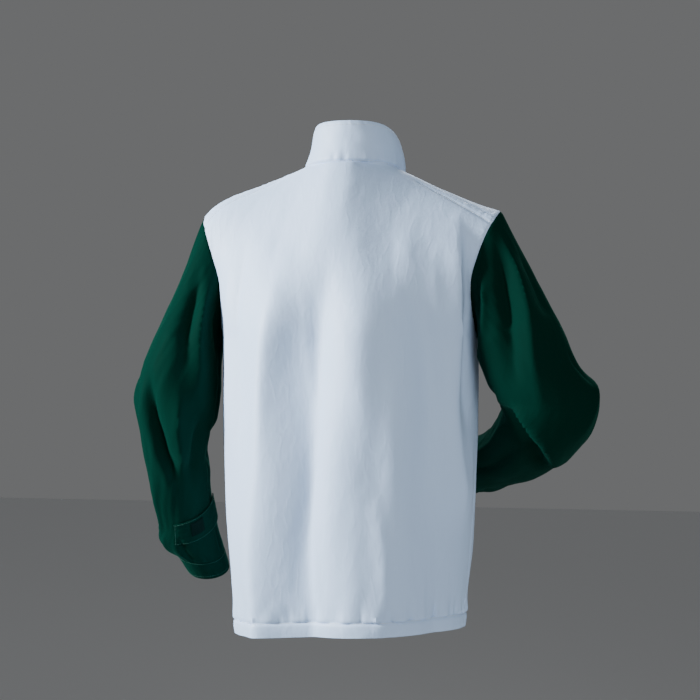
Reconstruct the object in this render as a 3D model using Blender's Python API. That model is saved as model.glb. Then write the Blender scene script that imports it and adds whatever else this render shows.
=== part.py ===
"""A worn zip-front windbreaker: white body and stand collar, green sleeves.

Metres, +Z up. The wearer faces -Y, so the wearer's left is +X. The origin is the centre of the neck
seam, where the jacket is carried. Every cloth piece is a curved patch P(across, along) that is sampled
on a grid, folded, and given a wall on both sides of it.
"""

import math

import bmesh
import bpy
import numpy as np

# ---------------------------------------------------------------- driving sizes
WALL = 0.0020            # cloth with its seam allowances
HEM_WALL = 0.0028        # the hem is turned up once
COLLAR_WALL = 0.0030     # two layers
CUFF_WALL = 0.0028       # two layers
SEAM_PULL = 0.00022      # each edge stands back from the seam by this much

HEM_DROP = 0.678         # neck seam at the back down to the hem
HEM_DEPTH = 0.020        # height of the turned hem
HEM_DIP_LEFT = 0.011     # the hem hangs lower at the wearer's left side
HEM_LIFT_RIGHT = 0.006   # and rides up at the right side
HEM_SHIFT_REACH = 0.6    # share of the lower body over which that fades out
UNDERARM_DROP = 0.255    # neck seam down to the underarm point
SIDE_Y = 0.030           # the side seams lie this far behind the neck centre

NECK_HALF_WIDTH = 0.073
NECK_HALF_DEPTH = 0.079
NECK_FRONT_DROP = 0.062  # the neck seam is lower in front
NECK_DROP_POWER = 2.1
NECK_SHOULDER_DEG = 70.0  # where the shoulder seam meets the neck seam, from centre back
NECK_FRONT_DEG = 158.0   # where the neck seam ends beside the open zip

COLLAR_RISE_BACK = 0.0585
COLLAR_TOP_FALL = 0.076  # the collar's top edge falls this much from back to front
COLLAR_TOP_POWER = 1.8
COLLAR_TOP_HALF_WIDTH = 0.0620
COLLAR_TOP_SHIFT = -0.0035   # the top edge leans towards the wearer's right
COLLAR_TOP_HALF_DEPTH = 0.0720
COLLAR_BULGE_LEFT = -0.0030  # how far the collar's middle bows out at each side
COLLAR_BULGE_RIGHT = 0.0030

# How strongly the upper panels leave the chest and arrive at the neck and shoulder seams.
RISE_FROM_CHEST = 0.24
ARRIVE_IN = 0.085
ARRIVE_UP_CENTRE = 0.105
ARRIVE_UP_SIDE = 0.045
BACK_OVER_SHOULDER = (-0.15, 0.055)   # y, z
FRONT_OVER_SHOULDER = (0.18, -0.03)
CORNER_SPREAD = 0.24     # the corner at the neck fades into the panel over this share of its width
CORNER_POWER = 3.0
CORNER_TURN_FROM = 0.55  # the arriving direction turns from the neck's to the shoulder's over these
CORNER_TURN_OVER = 0.90  # shares of the neck's columns
SHOULDER_BOW_LEFT = 0.024    # the shoulder seams' rise over a straight line, if it went on growing
SHOULDER_BOW_RIGHT = 0.000
SHOULDER_BOW_GROWTH = 1.2
SHOULDER_BOW_ROUND = 7       # a high power keeps the rounding-off close to the sleeve
EVEN_COLUMNS = 0.875     # columns are this even round the body, and closer together at the centre
ARMHOLE_REACH_POWER = 4  # how fast the armhole's and the zip edge's shapes fade into the panel
ZIP_REACH_POWER = 6

ZIP_EDGE_X = 0.0060      # the front edges stand this far from the centre line
ZIP_OPEN_FROM = 0.42     # share of the upper front below which the zip is closed
TAPE_WALL = 0.0010
TAPE_BEHIND = 0.0022     # tape's middle behind the front panel's middle
COLLAR_TAPE_BEHIND = 0.0027
TAPE_UNDERLAP = 0.0100
FRONT_ARC = 0.24         # a front's width round the body
CHAIN_HALF_GAP = 0.00025
CHAIN_WIDTH = 0.0028
CHAIN_WALL = 0.0024
CHAIN_STEP = 0.0003      # width of the step between chain and tape
CHAIN_SPAN = 0.02        # the chain's tilt is measured between places this far on either side

BACK_NECK_COLUMNS = 6    # on each side of centre back
SHOULDER_COLUMNS = 12
FRONT_NECK_COLUMNS = 6
LOWER_ROWS = 9
UPPER_ROWS = 16
SLEEVE_ROWS = 20
CUFF_ROWS = 3
COLLAR_ROWS = 4

SHARP_ANGLE = math.radians(40)
SMOOTH_FROM_FACES = 100  # cloth pieces have more faces than this, and the zip's hard pieces fewer

WHITE = (0.80, 0.84, 0.88, 1.0)
GREEN = (0.004, 0.075, 0.050, 1.0)
TAPE_WHITE = (0.74, 0.77, 0.80, 1.0)
METAL = (0.62, 0.63, 0.64, 1.0)

# Horizontal sections of the body, from the hem to the underarm.
#               height   half_width  back_depth  front_depth
BODY_SECTIONS = (
    ("hem",    -0.678,   0.1700,     0.124,      0.120),
    ("hip",    -0.600,   0.1765,     0.129,      0.124),
    ("waist",  -0.490,   0.1845,     0.132,      0.127),
    ("ribs",   -0.380,   0.1885,     0.133,      0.130),
    ("chest",  -0.255,   0.1900,     0.131,      0.131),
)

# The armhole, for the wearer's left; the right one is its mirror image.
#                  x       y       z
BACK_ARMHOLE = (
    ("underarm",   0.1900,  0.0300, -0.2550),
    ("low",        0.1880,  0.0560, -0.2180),
    ("blade",      0.1890,  0.0680, -0.1740),
    ("high",       0.1990,  0.0690, -0.1380),
    ("near_tip",   0.2110,  0.0620, -0.1050),
    ("tip",        0.2215,  0.0470, -0.0830),
)
FRONT_ARMHOLE = (
    ("underarm",   0.1900,  0.0300, -0.2550),
    ("low",        0.1895, -0.0060, -0.2300),
    ("chest",      0.1920, -0.0300, -0.1850),
    ("high",       0.2040, -0.0300, -0.1350),
    ("over",       0.2180, -0.0060, -0.0920),
    ("ridge",      0.2240,  0.0220, -0.0740),
    ("tip",        0.2215,  0.0470, -0.0830),
)

# Sections of each sleeve after the armhole. lean tips the section's outer end up from level, turn swings
# it from straight out to the side towards the back, both in degrees. The last two rows are the cuff.
#                 x        y       z       half_width half_depth lean  turn
LEFT_SLEEVE = (
    ("upper",     0.2430,  0.0400, -0.2680, 0.0530,   0.0700,    33.0,  0.0),
    ("lower_arm", 0.2540,  0.0460, -0.3140, 0.0590,   0.0680,    18.0,  0.0),
    ("elbow",     0.2625,  0.0470, -0.3560, 0.0615,   0.0630,    12.0,  0.0),
    ("below",     0.2640,  0.0390, -0.3960, 0.0545,   0.0580,     8.0,  0.0),
    ("forearm",   0.2690,  0.0220, -0.4380, 0.0480,   0.0510,     0.0,  0.0),
    ("slim",      0.2715,  0.0020, -0.4850, 0.0430,   0.0470,     0.0,  0.0),
    ("tab",       0.2695, -0.0160, -0.5220, 0.0415,   0.0450,     0.0,  0.0),
    ("blouse",    0.2715, -0.0320, -0.5540, 0.0455,   0.0455,     6.0,  0.0),
    ("cuff_top",  0.2580, -0.0440, -0.5790, 0.0370,   0.0370,    12.0,  0.0),
    ("cuff_end",  0.2480, -0.0570, -0.6080, 0.0305,   0.0320,     6.0,  0.0),
)
RIGHT_SLEEVE = (
    ("upper",    -0.2530,  0.0430, -0.2580, 0.0620,   0.0710,    29.0,  5.0),
    ("lower_arm", -0.2760, 0.0530, -0.3080, 0.0640,   0.0700,    16.0, 14.0),
    ("point",    -0.2945,  0.0560, -0.3360, 0.0745,   0.0670,     0.0, 22.0),
    ("elbow",    -0.2980,  0.0460, -0.3640, 0.0690,   0.0620,   -25.0, 36.0),
    ("below",    -0.2770,  0.0160, -0.3870, 0.0600,   0.0580,   -48.0, 26.0),
    ("forearm",  -0.2420, -0.0280, -0.4160, 0.0500,   0.0520,   -60.0, 14.0),
    ("slim",     -0.2050, -0.0720, -0.4330, 0.0430,   0.0470,   -62.0, 12.0),
    ("blouse",   -0.1680, -0.1110, -0.4470, 0.0430,   0.0440,   -62.0, 12.0),
    ("cuff_top", -0.1440, -0.1340, -0.4560, 0.0365,   0.0370,   -62.0, 12.0),
    ("cuff_end", -0.1180, -0.1590, -0.4660, 0.0305,   0.0320,   -62.0, 12.0),
)
SLEEVE_START = 0.36      # share of the sleeve's length at its first table section
SLEEVE_ROOT = (0.2050, 0.0250, -0.1700)   # middle of the left armhole
UNDERARM_STANDOFF = 0.022   # how strongly the sleeve leaves the body at the underarm
UNDERARM_LEVEL = 1.0        # and how much more level it leaves there

# Vertical folds of the body: x at the fold's top, middle and foot, the heights it runs between, its half
# width and its height, which is negative for a trough.
#                 x_top    x_mid    x_foot   z_top   z_foot  half_width height
BACK_FOLDS = (
    ("long_crest",    0.066,  0.093,   0.105,  -0.08,  -0.77,  0.031,   0.0120),
    ("centre_crest", -0.047, -0.046,  -0.051,  -0.07,  -0.48,  0.036,   0.0100),
    ("low_crest",    -0.034, -0.042,  -0.048,  -0.37,  -0.76,  0.034,   0.0060),
    ("right_crest",  -0.106, -0.095,  -0.101,  -0.10,  -0.76,  0.024,   0.0065),
    ("side_crest",   -0.168, -0.165,  -0.174,  -0.10,  -0.53,  0.017,   0.0070),
    ("right_trough", -0.140, -0.150,  -0.146,  -0.36,  -0.76,  0.020,  -0.0045),
)
FRONT_FOLDS = (
    ("outer_trough", 0.148,  0.152,   0.144,  -0.22,  -0.74,  0.013,  -0.0045),
    ("outer_ridge",  0.116,  0.122,   0.118,  -0.20,  -0.70,  0.015,   0.0050),
    ("chest_trough", 0.082,  0.090,   0.086,  -0.14,  -0.74,  0.015,  -0.0045),
    ("inner_ridge",  0.052,  0.056,   0.060,  -0.16,  -0.66,  0.014,   0.0035),
)

# Folds of a sleeve: place round it (0 underarm, 0.25 back, 0.5 outside, 0.75 front) at the fold's start
# and end, the stretch along the sleeve that it runs over, its half width round and its height.
#                  start    end      from    to     half_width height
LEFT_SLEEVE_FOLDS = (
    ("arm_ridge",    0.330,   0.300,   0.02,   0.46,  0.042,     0.0065),
    ("arm_trough",   0.410,   0.390,   0.06,   0.42,  0.040,    -0.0050),
    ("body_trough",  0.215,   0.190,   0.02,   0.34,  0.040,    -0.0050),
    ("elbow_hollow", 0.420,   0.300,   0.44,   0.66,  0.045,    -0.0085),
    ("elbow_drape",  0.300,   0.270,   0.42,   0.64,  0.038,     0.0065),
    ("inner_hollow", 0.175,   0.200,   0.46,   0.68,  0.040,    -0.0060),
    ("inner_notch",  0.950,   0.960,   0.52,   0.68,  0.060,    -0.0110),
    ("front_fold",   0.760,   0.700,   0.30,   0.60,  0.045,    -0.0060),
)
RIGHT_SLEEVE_FOLDS = (
    ("arm_ridge",    0.345,   0.305,   0.02,   0.48,  0.038,     0.0075),
    ("arm_trough",   0.265,   0.230,   0.03,   0.46,  0.042,    -0.0080),
    ("under_ridge",  0.180,   0.170,   0.04,   0.34,  0.040,     0.0045),
    ("outer_trough", 0.430,   0.405,   0.10,   0.42,  0.042,    -0.0040),
    ("bend_tuck",    0.100,   0.040,   0.42,   0.60,  0.050,    -0.0070),
    ("front_tuck",   0.860,   0.900,   0.40,   0.56,  0.050,    -0.0070),
    ("low_fold",     0.560,   0.620,   0.58,   0.82,  0.045,    -0.0045),
)
# Lengths over which the folds fade out: on a panel towards its sides (share of its width), its top edge
# (share of its upper half), and at a fold's own head and foot in metres; on a sleeve as a share of the fold.
FOLD_SIDE_FADE = 0.12
FOLD_TOP_FADE = 0.35
FOLD_HEAD_FADE = 0.10
FOLD_FOOT_FADE = 0.08
SLEEVE_FOLD_FADE = 0.36

# The cuff tab: where it starts and ends round the sleeve, its two edges along the sleeve, and how much
# lower its free end lies than its sewn end.
#             name     start   end    upper   lower  free_end_drop
CUFF_TABS = (
    ("left",  -0.060, 0.265,  0.739,  0.808,  0.032),
    ("right", -0.060, 0.265,  0.866,  0.922,  0.000),
)
TAB_WALL = 0.0015
TAB_LIFT = 0.0029        # tab's middle over the sleeve's middle
TAB_COLUMNS = 8
TAB_ROWS = 3

SLIDER_AT = 1.475        # place of the slider's middle along the front, just above the closed chain
SLIDER_HALF_WIDTH = 0.0052
SLIDER_LENGTH = 0.0130
SLIDER_PLATE = 0.0012
SLIDER_CLEARANCE = 0.0006
POST_HALF_WIDTH = 0.0009
POST_LENGTH = 0.0025
POST_INSET = 0.0005      # the post stands back from the slider's upper end
LUG_HALF_GAP = 0.0024
LUG_WIDTH = 0.0011
LUG_LENGTH = 0.0040
LUG_LIP = 0.0013         # the lugs reach this far past the bar's middle
BAR_RADIUS = 0.0008
BAR_OUT = 0.0052         # pull tab's pivot in front of the chain's middle
PULL_HALF_WIDTH = 0.0030
PULL_NECK_HALF_WIDTH = 0.0019
PULL_LENGTH = 0.0270
PULL_NECK_LENGTH = 0.0065
PULL_WALL = 0.0016
PULL_LAP = 0.0010        # neck and tab lap by this much
PULL_INSET = 0.96        # neck and tab are this share of the eye's width and of the wall
EYE_HOLE_RADIUS = 0.0011
EYE_RADIUS = 0.0020
BOX_HALF_WIDTH = 0.0045
BOX_HEIGHT = 0.0090
BOX_WALL = 0.0052
BOX_GAP = 0.0004
TAPE_INSET = 0.002       # the front's slope is measured this far inside its edges
TAPE_CORNER = 1.30       # the tape stands off more where it turns from the front to the collar
TAPE_FOOT = 0.022        # places of the tape's two ends along the front
TAPE_NECK = 1.985        # last place on the front, just under the neck seam
TAPE_HEAD = 0.94         # share of the collar's height where the tape ends

SLOPE_STEP = 1e-4        # step in a surface's two places for measuring its slope
SECTION_STEP = 1e-3      # the same along a sleeve's table sections
WELD = 5e-5              # seam points closer than this are the same point


# ---------------------------------------------------------------- small maths
def smoothstep(value):
    """0 below 0, 1 above 1, and an even S between."""
    value = np.clip(value, 0.0, 1.0)
    return value * value * (3.0 - 2.0 * value)


def unit(vectors):
    """Vectors along the last axis at length one."""
    length = np.linalg.norm(vectors, axis=-1, keepdims=True)
    return vectors / np.maximum(length, 1e-12)


def through_rows(rows, place):
    """A smooth curve through a table's rows, read at place 0..1 (Catmull-Rom)."""
    table = np.array([row[1:] for row in rows], dtype=float)
    table = np.vstack([2 * table[0] - table[1], table, 2 * table[-1] - table[-2]])
    spans = len(rows) - 1
    position = np.clip(np.asarray(place, dtype=float), 0.0, 1.0) * spans
    span = np.minimum(position.astype(int), spans - 1)
    share = (position - span)[..., None]
    before, start, end, after = (table[span + step] for step in range(4))
    return 0.5 * (
        2 * start
        + (end - before) * share
        + (2 * before - 5 * start + 4 * end - after) * share**2
        + (3 * start - before - 3 * end + after) * share**3
    )


def hermite(start, leave, end, arrive, share):
    """A cubic from start to end with the given end directions."""
    share = share[..., None]
    return (
        start * (2 * share**3 - 3 * share**2 + 1)
        + leave * (share**3 - 2 * share**2 + share)
        + end * (3 * share**2 - 2 * share**3)
        + arrive * (share**3 - share**2)
    )


def stack(x, y, z):
    """Points from three arrays of coordinates."""
    return np.stack(np.broadcast_arrays(x, y, z), axis=-1).astype(float)


# ---------------------------------------------------------------- body surface
def neck_seam(degrees, side=1.0):
    """Points of the neck seam, measured from centre back."""
    angle = np.radians(degrees)
    drop = NECK_FRONT_DROP * ((1 - np.cos(angle)) / 2) ** NECK_DROP_POWER
    return stack(side * NECK_HALF_WIDTH * np.sin(angle), NECK_HALF_DEPTH * np.cos(angle), -drop)


def body_ring(across, along, front):
    """Points round the body below the underarm. across runs 0 at the centre to 1 at the side seam."""
    heights = np.array([row[1] for row in BODY_SECTIONS])
    height = -HEM_DROP + along * (HEM_DROP - UNDERARM_DROP)
    place = np.interp(height, heights, np.linspace(0, 1, len(heights)))
    section = through_rows(BODY_SECTIONS, place)
    half_width = section[..., 1]
    depth = section[..., 3] if front else section[..., 2]
    even = EVEN_COLUMNS * across + (1 - EVEN_COLUMNS) * across**3
    start = np.arcsin(ZIP_EDGE_X / half_width) if front else 0.0
    angle = start + (math.pi / 2 - start) * even
    sign = -1.0 if front else 1.0
    return half_width * np.sin(angle), SIDE_Y + sign * depth * np.cos(angle)


def hem_shift(x, along):
    """How far the hem hangs below its level line, fading out by the waist."""
    share = x / BODY_SECTIONS[0][2]
    dip = 0.5 * (HEM_DIP_LEFT + HEM_LIFT_RIGHT) * share + 0.5 * (HEM_DIP_LEFT - HEM_LIFT_RIGHT) * share**2
    return -dip * (1 - smoothstep(along / HEM_SHIFT_REACH))


def armhole(share, front, side=1.0):
    """Points of the armhole from the underarm (0) to the tip of the shoulder seam (1)."""
    curve = through_rows(FRONT_ARMHOLE if front else BACK_ARMHOLE, share)
    return curve * np.array([side, 1.0, 1.0])


def top_edge(across, front, side):
    """The shoulder seam and half the neck seam, with the direction in which the cloth arrives there.

    across runs 0 at the centre to 1 at the shoulder tip.
    """
    neck_columns = FRONT_NECK_COLUMNS if front else BACK_NECK_COLUMNS
    neck_share = neck_columns / (neck_columns + SHOULDER_COLUMNS)
    far = NECK_FRONT_DEG if front else 0.0
    on_neck = np.clip(across / neck_share, 0, 1)
    degrees = far + (NECK_SHOULDER_DEG - far) * on_neck
    neck = neck_seam(degrees, side)

    on_shoulder = np.clip((across - neck_share) / (1 - neck_share), 0, 1)[..., None]
    inner = neck_seam(np.full(np.shape(across), NECK_SHOULDER_DEG), side)
    tip = armhole(np.ones(np.shape(across)), front, side)
    rise = SHOULDER_BOW_LEFT if side > 0 else SHOULDER_BOW_RIGHT
    bow = rise * on_shoulder**SHOULDER_BOW_GROWTH * (1 - on_shoulder**SHOULDER_BOW_ROUND)
    shoulder = inner + (tip - inner) * on_shoulder + bow * np.array([0.0, 0.0, 1.0])

    angle = np.radians(degrees)
    to_neck = stack(
        -side * np.sin(angle) * ARRIVE_IN,
        -np.cos(angle) * ARRIVE_IN,
        ARRIVE_UP_SIDE + (ARRIVE_UP_CENTRE - ARRIVE_UP_SIDE) * np.cos(angle) ** 2,
    )
    over = FRONT_OVER_SHOULDER if front else BACK_OVER_SHOULDER
    over_shoulder = stack(0.0 * across, over[0], over[1])
    turn = smoothstep((across / neck_share - CORNER_TURN_FROM) / CORNER_TURN_OVER)[..., None]
    arrive = to_neck * (1 - turn) + over_shoulder * turn
    return np.where((across < neck_share)[..., None], neck, shoulder), arrive


def half_panel(across, along, front, side):
    """Half the back, or one front. along runs 0 at the hem, 1 at the underarm, 2 at the top edge."""
    across, along = np.broadcast_arrays(np.asarray(across, float), np.asarray(along, float))
    lower = np.clip(along, 0, 1)
    upper = np.clip(along - 1, 0, 1)
    x, y = body_ring(across, lower, front)
    z = -HEM_DROP + lower * (HEM_DROP - UNDERARM_DROP)
    below = stack(side * x, y, z + hem_shift(side * x, lower))

    def column(across):
        """The upper half panel before its armhole and zip edge are set."""
        ring_x, ring_y = body_ring(across, np.ones(np.shape(across)), front)
        foot = stack(side * ring_x, ring_y, -UNDERARM_DROP)
        leave = stack(0.0 * across, 0.0 * across, RISE_FROM_CHEST)
        edge, arrive = top_edge(across, front, side)
        reach = np.minimum(np.minimum(across, 1 - across), CORNER_SPREAD)
        offsets = np.linspace(-1, 1, 7)
        eased = sum(top_edge(across + reach * offset, front, side)[0] for offset in offsets) / len(offsets)
        corner = (edge - eased) * (upper**CORNER_POWER)[..., None]
        return hermite(foot, leave, eased, arrive, upper) + corner

    above = column(across)
    rim = np.ones(across.shape)
    above = above + (armhole(upper, front, side) - column(rim)) * (across**ARMHOLE_REACH_POWER)[..., None]
    if front:
        neck_end = neck_seam(NECK_FRONT_DEG)[0]
        spread = smoothstep((upper - ZIP_OPEN_FROM) / (1 - ZIP_OPEN_FROM))
        wanted = side * (ZIP_EDGE_X + (neck_end - ZIP_EDGE_X) * spread)
        above[..., 0] += (wanted - column(0.0 * across)[..., 0]) * (1 - across) ** ZIP_REACH_POWER
    return np.where((along <= 1.0)[..., None], below, above)


def fold_height(folds, points, mirror=1.0):
    """Sum of the vertical folds at the given points."""
    x, z = points[..., 0] * mirror, points[..., 2]
    total = np.zeros(x.shape)
    for _, x_top, x_mid, x_foot, z_top, z_foot, half_width, height in folds:
        share = np.clip((z - z_top) / (z_foot - z_top), 0, 1)
        line = x_top * (1 - share) * (1 - 2 * share) + 4 * x_mid * share * (1 - share)
        line = line + x_foot * share * (2 * share - 1)
        window = smoothstep((z_top - z) / FOLD_HEAD_FADE) * smoothstep((z - z_foot) / FOLD_FOOT_FADE)
        total += height * window * np.exp(-(((x - line) / half_width) ** 2))
    return total


def surface_normal(surface, across, along, outward):
    """Unit normals of a surface function, turned by outward (+1 or -1)."""
    ahead = surface(across + SLOPE_STEP, along) - surface(across - SLOPE_STEP, along)
    up = surface(across, along + SLOPE_STEP) - surface(across, along - SLOPE_STEP)
    return unit(np.cross(ahead, up)) * outward


def back_point(across, along):
    """The back with its folds. across runs -1 at the wearer's right to 1 at the left."""
    across = np.asarray(across, float)
    right = half_panel(np.abs(across), along, False, -1.0)
    left = half_panel(np.abs(across), along, False, 1.0)
    plain = np.where((across < 0)[..., None], right, left)
    fade = smoothstep((1 - np.abs(across)) / FOLD_SIDE_FADE) * smoothstep((2 - along) / FOLD_TOP_FADE)
    out = unit(plain * np.array([1.0, 1.0, 0.0]) - np.array([0.0, SIDE_Y, 0.0]))
    return plain + out * (fold_height(BACK_FOLDS, plain) * fade)[..., None]


def front_point(across, along, side):
    """One front with its folds. across runs 0 at the zip to 1 at the side seam."""
    plain = half_panel(across, along, True, side)
    fade = smoothstep((1 - across) / FOLD_SIDE_FADE) * smoothstep(across / FOLD_SIDE_FADE)
    fade = fade * smoothstep((2 - along) / FOLD_TOP_FADE)
    out = unit(plain * np.array([1.0, 1.0, 0.0]) - np.array([0.0, SIDE_Y, 0.0]))
    return plain + out * (fold_height(FRONT_FOLDS, plain, side) * fade)[..., None]


# ---------------------------------------------------------------- collar and sleeves
def collar_point(degrees, rise, side=1.0):
    """Points of the collar. rise runs 0 at the neck seam to 1 at the top edge."""
    degrees, rise = np.broadcast_arrays(np.asarray(degrees, float), np.asarray(rise, float))
    angle = np.radians(degrees)
    foot = neck_seam(degrees, side)
    fall = COLLAR_TOP_FALL * ((1 - np.cos(angle)) / 2) ** COLLAR_TOP_POWER
    top = stack(
        side * COLLAR_TOP_HALF_WIDTH * np.sin(angle) + COLLAR_TOP_SHIFT,
        COLLAR_TOP_HALF_DEPTH * np.cos(angle),
        COLLAR_RISE_BACK - fall,
    )
    out = stack(side * np.sin(angle), np.cos(angle), 0.0)
    leftness = (1 + side * np.sin(angle)) / 2
    bulge = COLLAR_BULGE_RIGHT + (COLLAR_BULGE_LEFT - COLLAR_BULGE_RIGHT) * leftness
    bulge = bulge * np.sin(math.pi * rise)
    return foot + (top - foot) * rise[..., None] + out * bulge[..., None]


def sleeve_fold_height(folds, around, along):
    """Sum of a sleeve's folds at the given places."""
    total = np.zeros(np.shape(around))
    for _, start, end, first, last, half_width, height in folds:
        share = np.clip((along - first) / (last - first), 0, 1)
        line = start + (end - start) * share
        offset = (around - line + 0.5) % 1.0 - 0.5
        fade = SLEEVE_FOLD_FADE * (last - first)
        window = smoothstep((along - first) / fade) * smoothstep((last - along) / fade)
        total = total + height * window * np.exp(-((offset / half_width) ** 2))
    return total


def sleeve_ring(rows, place, around):
    """Points on the sleeve's table sections, place 0 at the first row and 1 at the last."""
    data = through_rows(rows, place)
    ahead, behind = through_rows(rows, place + SECTION_STEP), through_rows(rows, place - SECTION_STEP)
    path = unit(ahead[..., :3] - behind[..., :3])
    centre, half_width, half_depth = data[..., :3], data[..., 3:4], data[..., 4:5]
    lean, turn = np.radians(data[..., 5]), np.radians(data[..., 6])
    side = math.copysign(1.0, rows[0][1])
    outer = stack(side * np.cos(lean) * np.cos(turn), np.cos(lean) * np.sin(turn), np.sin(lean))
    rear = unit(np.cross(outer, path)) * side
    angle = (2 * math.pi * around)[..., None]
    return centre - outer * half_width * np.cos(angle) + rear * half_depth * np.sin(angle)


def sleeve_point(rows, folds, around, along):
    """One sleeve with its cuff: along runs 0 at the armhole to 1 at the cuff's edge."""
    around, along = np.broadcast_arrays(np.asarray(around, float), np.asarray(along, float))
    around = around % 1.0
    side = math.copysign(1.0, rows[0][1])
    hole = np.where(
        (around < 0.5)[..., None],
        armhole(2 * around, False, side),
        armhole(2 - 2 * around, True, side),
    )
    first = sleeve_ring(rows, np.zeros(around.shape), around)
    share = np.clip(along / SLEEVE_START, 0, 1)
    under = np.clip(np.cos(2 * math.pi * around), 0, 1)
    clear = side * UNDERARM_STANDOFF * under * (share**0.5 - share)
    cap = hole + (first - hole) * stack(share, share, share ** (1 + UNDERARM_LEVEL * under))
    cap[..., 0] += clear
    tube = sleeve_ring(rows, (along - SLEEVE_START) / (1 - SLEEVE_START), around)
    plain = np.where((along < SLEEVE_START)[..., None], cap, tube)
    middle = sleeve_middle(rows, along)
    out = unit(plain - middle)
    return plain + out * sleeve_fold_height(folds, around, along)[..., None]


def sleeve_middle(rows, along):
    """The centre line of a sleeve."""
    side = math.copysign(1.0, rows[0][1])
    root = np.array(SLEEVE_ROOT) * np.array([side, 1.0, 1.0])
    centre = through_rows(rows, np.clip((along - SLEEVE_START) / (1 - SLEEVE_START), 0, 1))[..., :3]
    first = np.array(rows[0][1:4])
    share = np.clip(along / SLEEVE_START, 0, 1)[..., None]
    return np.where((along < SLEEVE_START)[..., None], root + (first - root) * share, centre)


# ---------------------------------------------------------------- grids and walls
class Sheet:
    """A grid of points with normals and a wall, which becomes one closed cloth solid."""

    def __init__(self, name, points, outward, wall, colour, closed=False):
        self.name = name
        self.points = points
        self.closed = closed
        self.colour = colour
        self.half_wall = np.broadcast_to(np.asarray(wall) / 2, points.shape[:2]).astype(float)
        if closed:
            wrapped = np.concatenate([points[:, -1:], points, points[:, :1]], axis=1)
            across = np.gradient(wrapped, axis=1)[:, 1:-1]
        else:
            across = np.gradient(points, axis=1)
        self.normals = unit(np.cross(across, np.gradient(points, axis=0))) * outward
        self.outward = outward

    def edge_indices(self):
        """Grid places on the rim, each with its neighbour towards the inside."""
        rows, columns = self.points.shape[:2]
        places = []
        for row in range(rows):
            for column in range(columns):
                inner_row = 1 if row == 0 else rows - 2 if row == rows - 1 else row
                inner_column = column
                if not self.closed:
                    inner_column = 1 if column == 0 else columns - 2 if column == columns - 1 else column
                if (inner_row, inner_column) != (row, column):
                    places.append(((row, column), (inner_row, inner_column)))
        return places

    def build(self):
        """The solid: outer skin, inner skin, and the cut edges between them."""
        rows, columns = self.points.shape[:2]
        lift = self.normals * self.half_wall[..., None]
        mesh = bmesh.new()
        outer = [[mesh.verts.new(point) for point in line] for line in self.points + lift]
        inner = [[mesh.verts.new(point) for point in line] for line in self.points - lift]
        last = columns if self.closed else columns - 1
        for row in range(rows - 1):
            for column in range(last):
                after = (column + 1) % columns
                corners = [(row, column), (row, after), (row + 1, after), (row + 1, column)]
                mesh.faces.new([outer[r][c] for r, c in corners])
                mesh.faces.new([inner[r][c] for r, c in reversed(corners)])
        for column in range(last):
            after = (column + 1) % columns
            rim_faces(mesh, outer[0][after], outer[0][column], inner[0][column], inner[0][after])
            rim_faces(mesh, outer[-1][column], outer[-1][after], inner[-1][after], inner[-1][column])
        if not self.closed:
            for row in range(rows - 1):
                rim_faces(mesh, outer[row][0], outer[row + 1][0], inner[row + 1][0], inner[row][0])
                rim_faces(mesh, outer[row + 1][-1], outer[row][-1], inner[row][-1], inner[row + 1][-1])
        return add_object(self.name, mesh, self.colour, roughness=0.55)


def rim_faces(mesh, first, second, third, fourth):
    """A cut edge's quad, split on its shorter diagonal: the same one on both sides of a seam."""
    if (first.co - third.co).length < (second.co - fourth.co).length:
        mesh.faces.new([first, second, third])
        mesh.faces.new([first, third, fourth])
    else:
        mesh.faces.new([second, third, fourth])
        mesh.faces.new([second, fourth, first])


def join_seams(sheets):
    """Give pieces that share seam points one normal there, and stand each one back from the seam."""
    shared = {}
    for sheet in sheets:
        for place, inner in sheet.edge_indices():
            key = tuple(np.round(sheet.points[place] / WELD).astype(int))
            shared.setdefault(key, []).append((sheet, place, inner))
    moves = []
    for members in shared.values():
        if len({id(sheet) for sheet, _, _ in members}) < 2:
            continue
        normal = unit(sum(sheet.normals[place] for sheet, place, _ in members))
        inward = [unit(sheet.points[inner] - sheet.points[place]) for sheet, place, inner in members]
        mean = sum(inward) / len(inward)
        for (sheet, place, _), direction in zip(members, inward):
            away = direction - mean
            away = away - normal * float(np.dot(away, normal))
            moves.append((sheet, place, normal, unit(away) * SEAM_PULL))
    for sheet, place, normal, move in moves:
        sheet.normals[place] = normal
        sheet.points[place] = sheet.points[place] + move


def material_for(name, colour, roughness, metallic):
    """A plain shader of its own for one piece."""
    material = bpy.data.materials.new(name)
    material.use_nodes = True
    shader = material.node_tree.nodes["Principled BSDF"]
    shader.inputs["Base Color"].default_value = colour
    shader.inputs["Roughness"].default_value = roughness
    shader.inputs["Metallic"].default_value = metallic
    material.diffuse_color = colour
    return material


def add_object(name, mesh, colour, roughness=0.5, metallic=0.0):
    """Turn a bmesh into a named object with its faces pointing out."""
    bmesh.ops.recalc_face_normals(mesh, faces=mesh.faces)
    if mesh.calc_volume(signed=True) < 0:
        bmesh.ops.reverse_faces(mesh, faces=mesh.faces)
    data = bpy.data.meshes.new(name)
    mesh.to_mesh(data)
    mesh.free()
    data.materials.append(material_for(name, colour, roughness, metallic))
    if len(data.polygons) > SMOOTH_FROM_FACES:
        data.shade_smooth()
        data.set_sharp_from_angle(angle=SHARP_ANGLE)
    piece = bpy.data.objects.new(name, data)
    bpy.context.scene.collection.objects.link(piece)
    return piece


# ---------------------------------------------------------------- pieces of cloth
def panel_rows():
    """Row places from the hem to the top edge, with a row where the turned hem ends."""
    hem = HEM_DEPTH / (HEM_DROP - UNDERARM_DROP)
    lower = np.concatenate([[0.0], np.linspace(hem, 1.0, LOWER_ROWS)])
    return np.concatenate([lower, 1.0 + np.linspace(0, 1, UPPER_ROWS + 1)[1:]])


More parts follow.
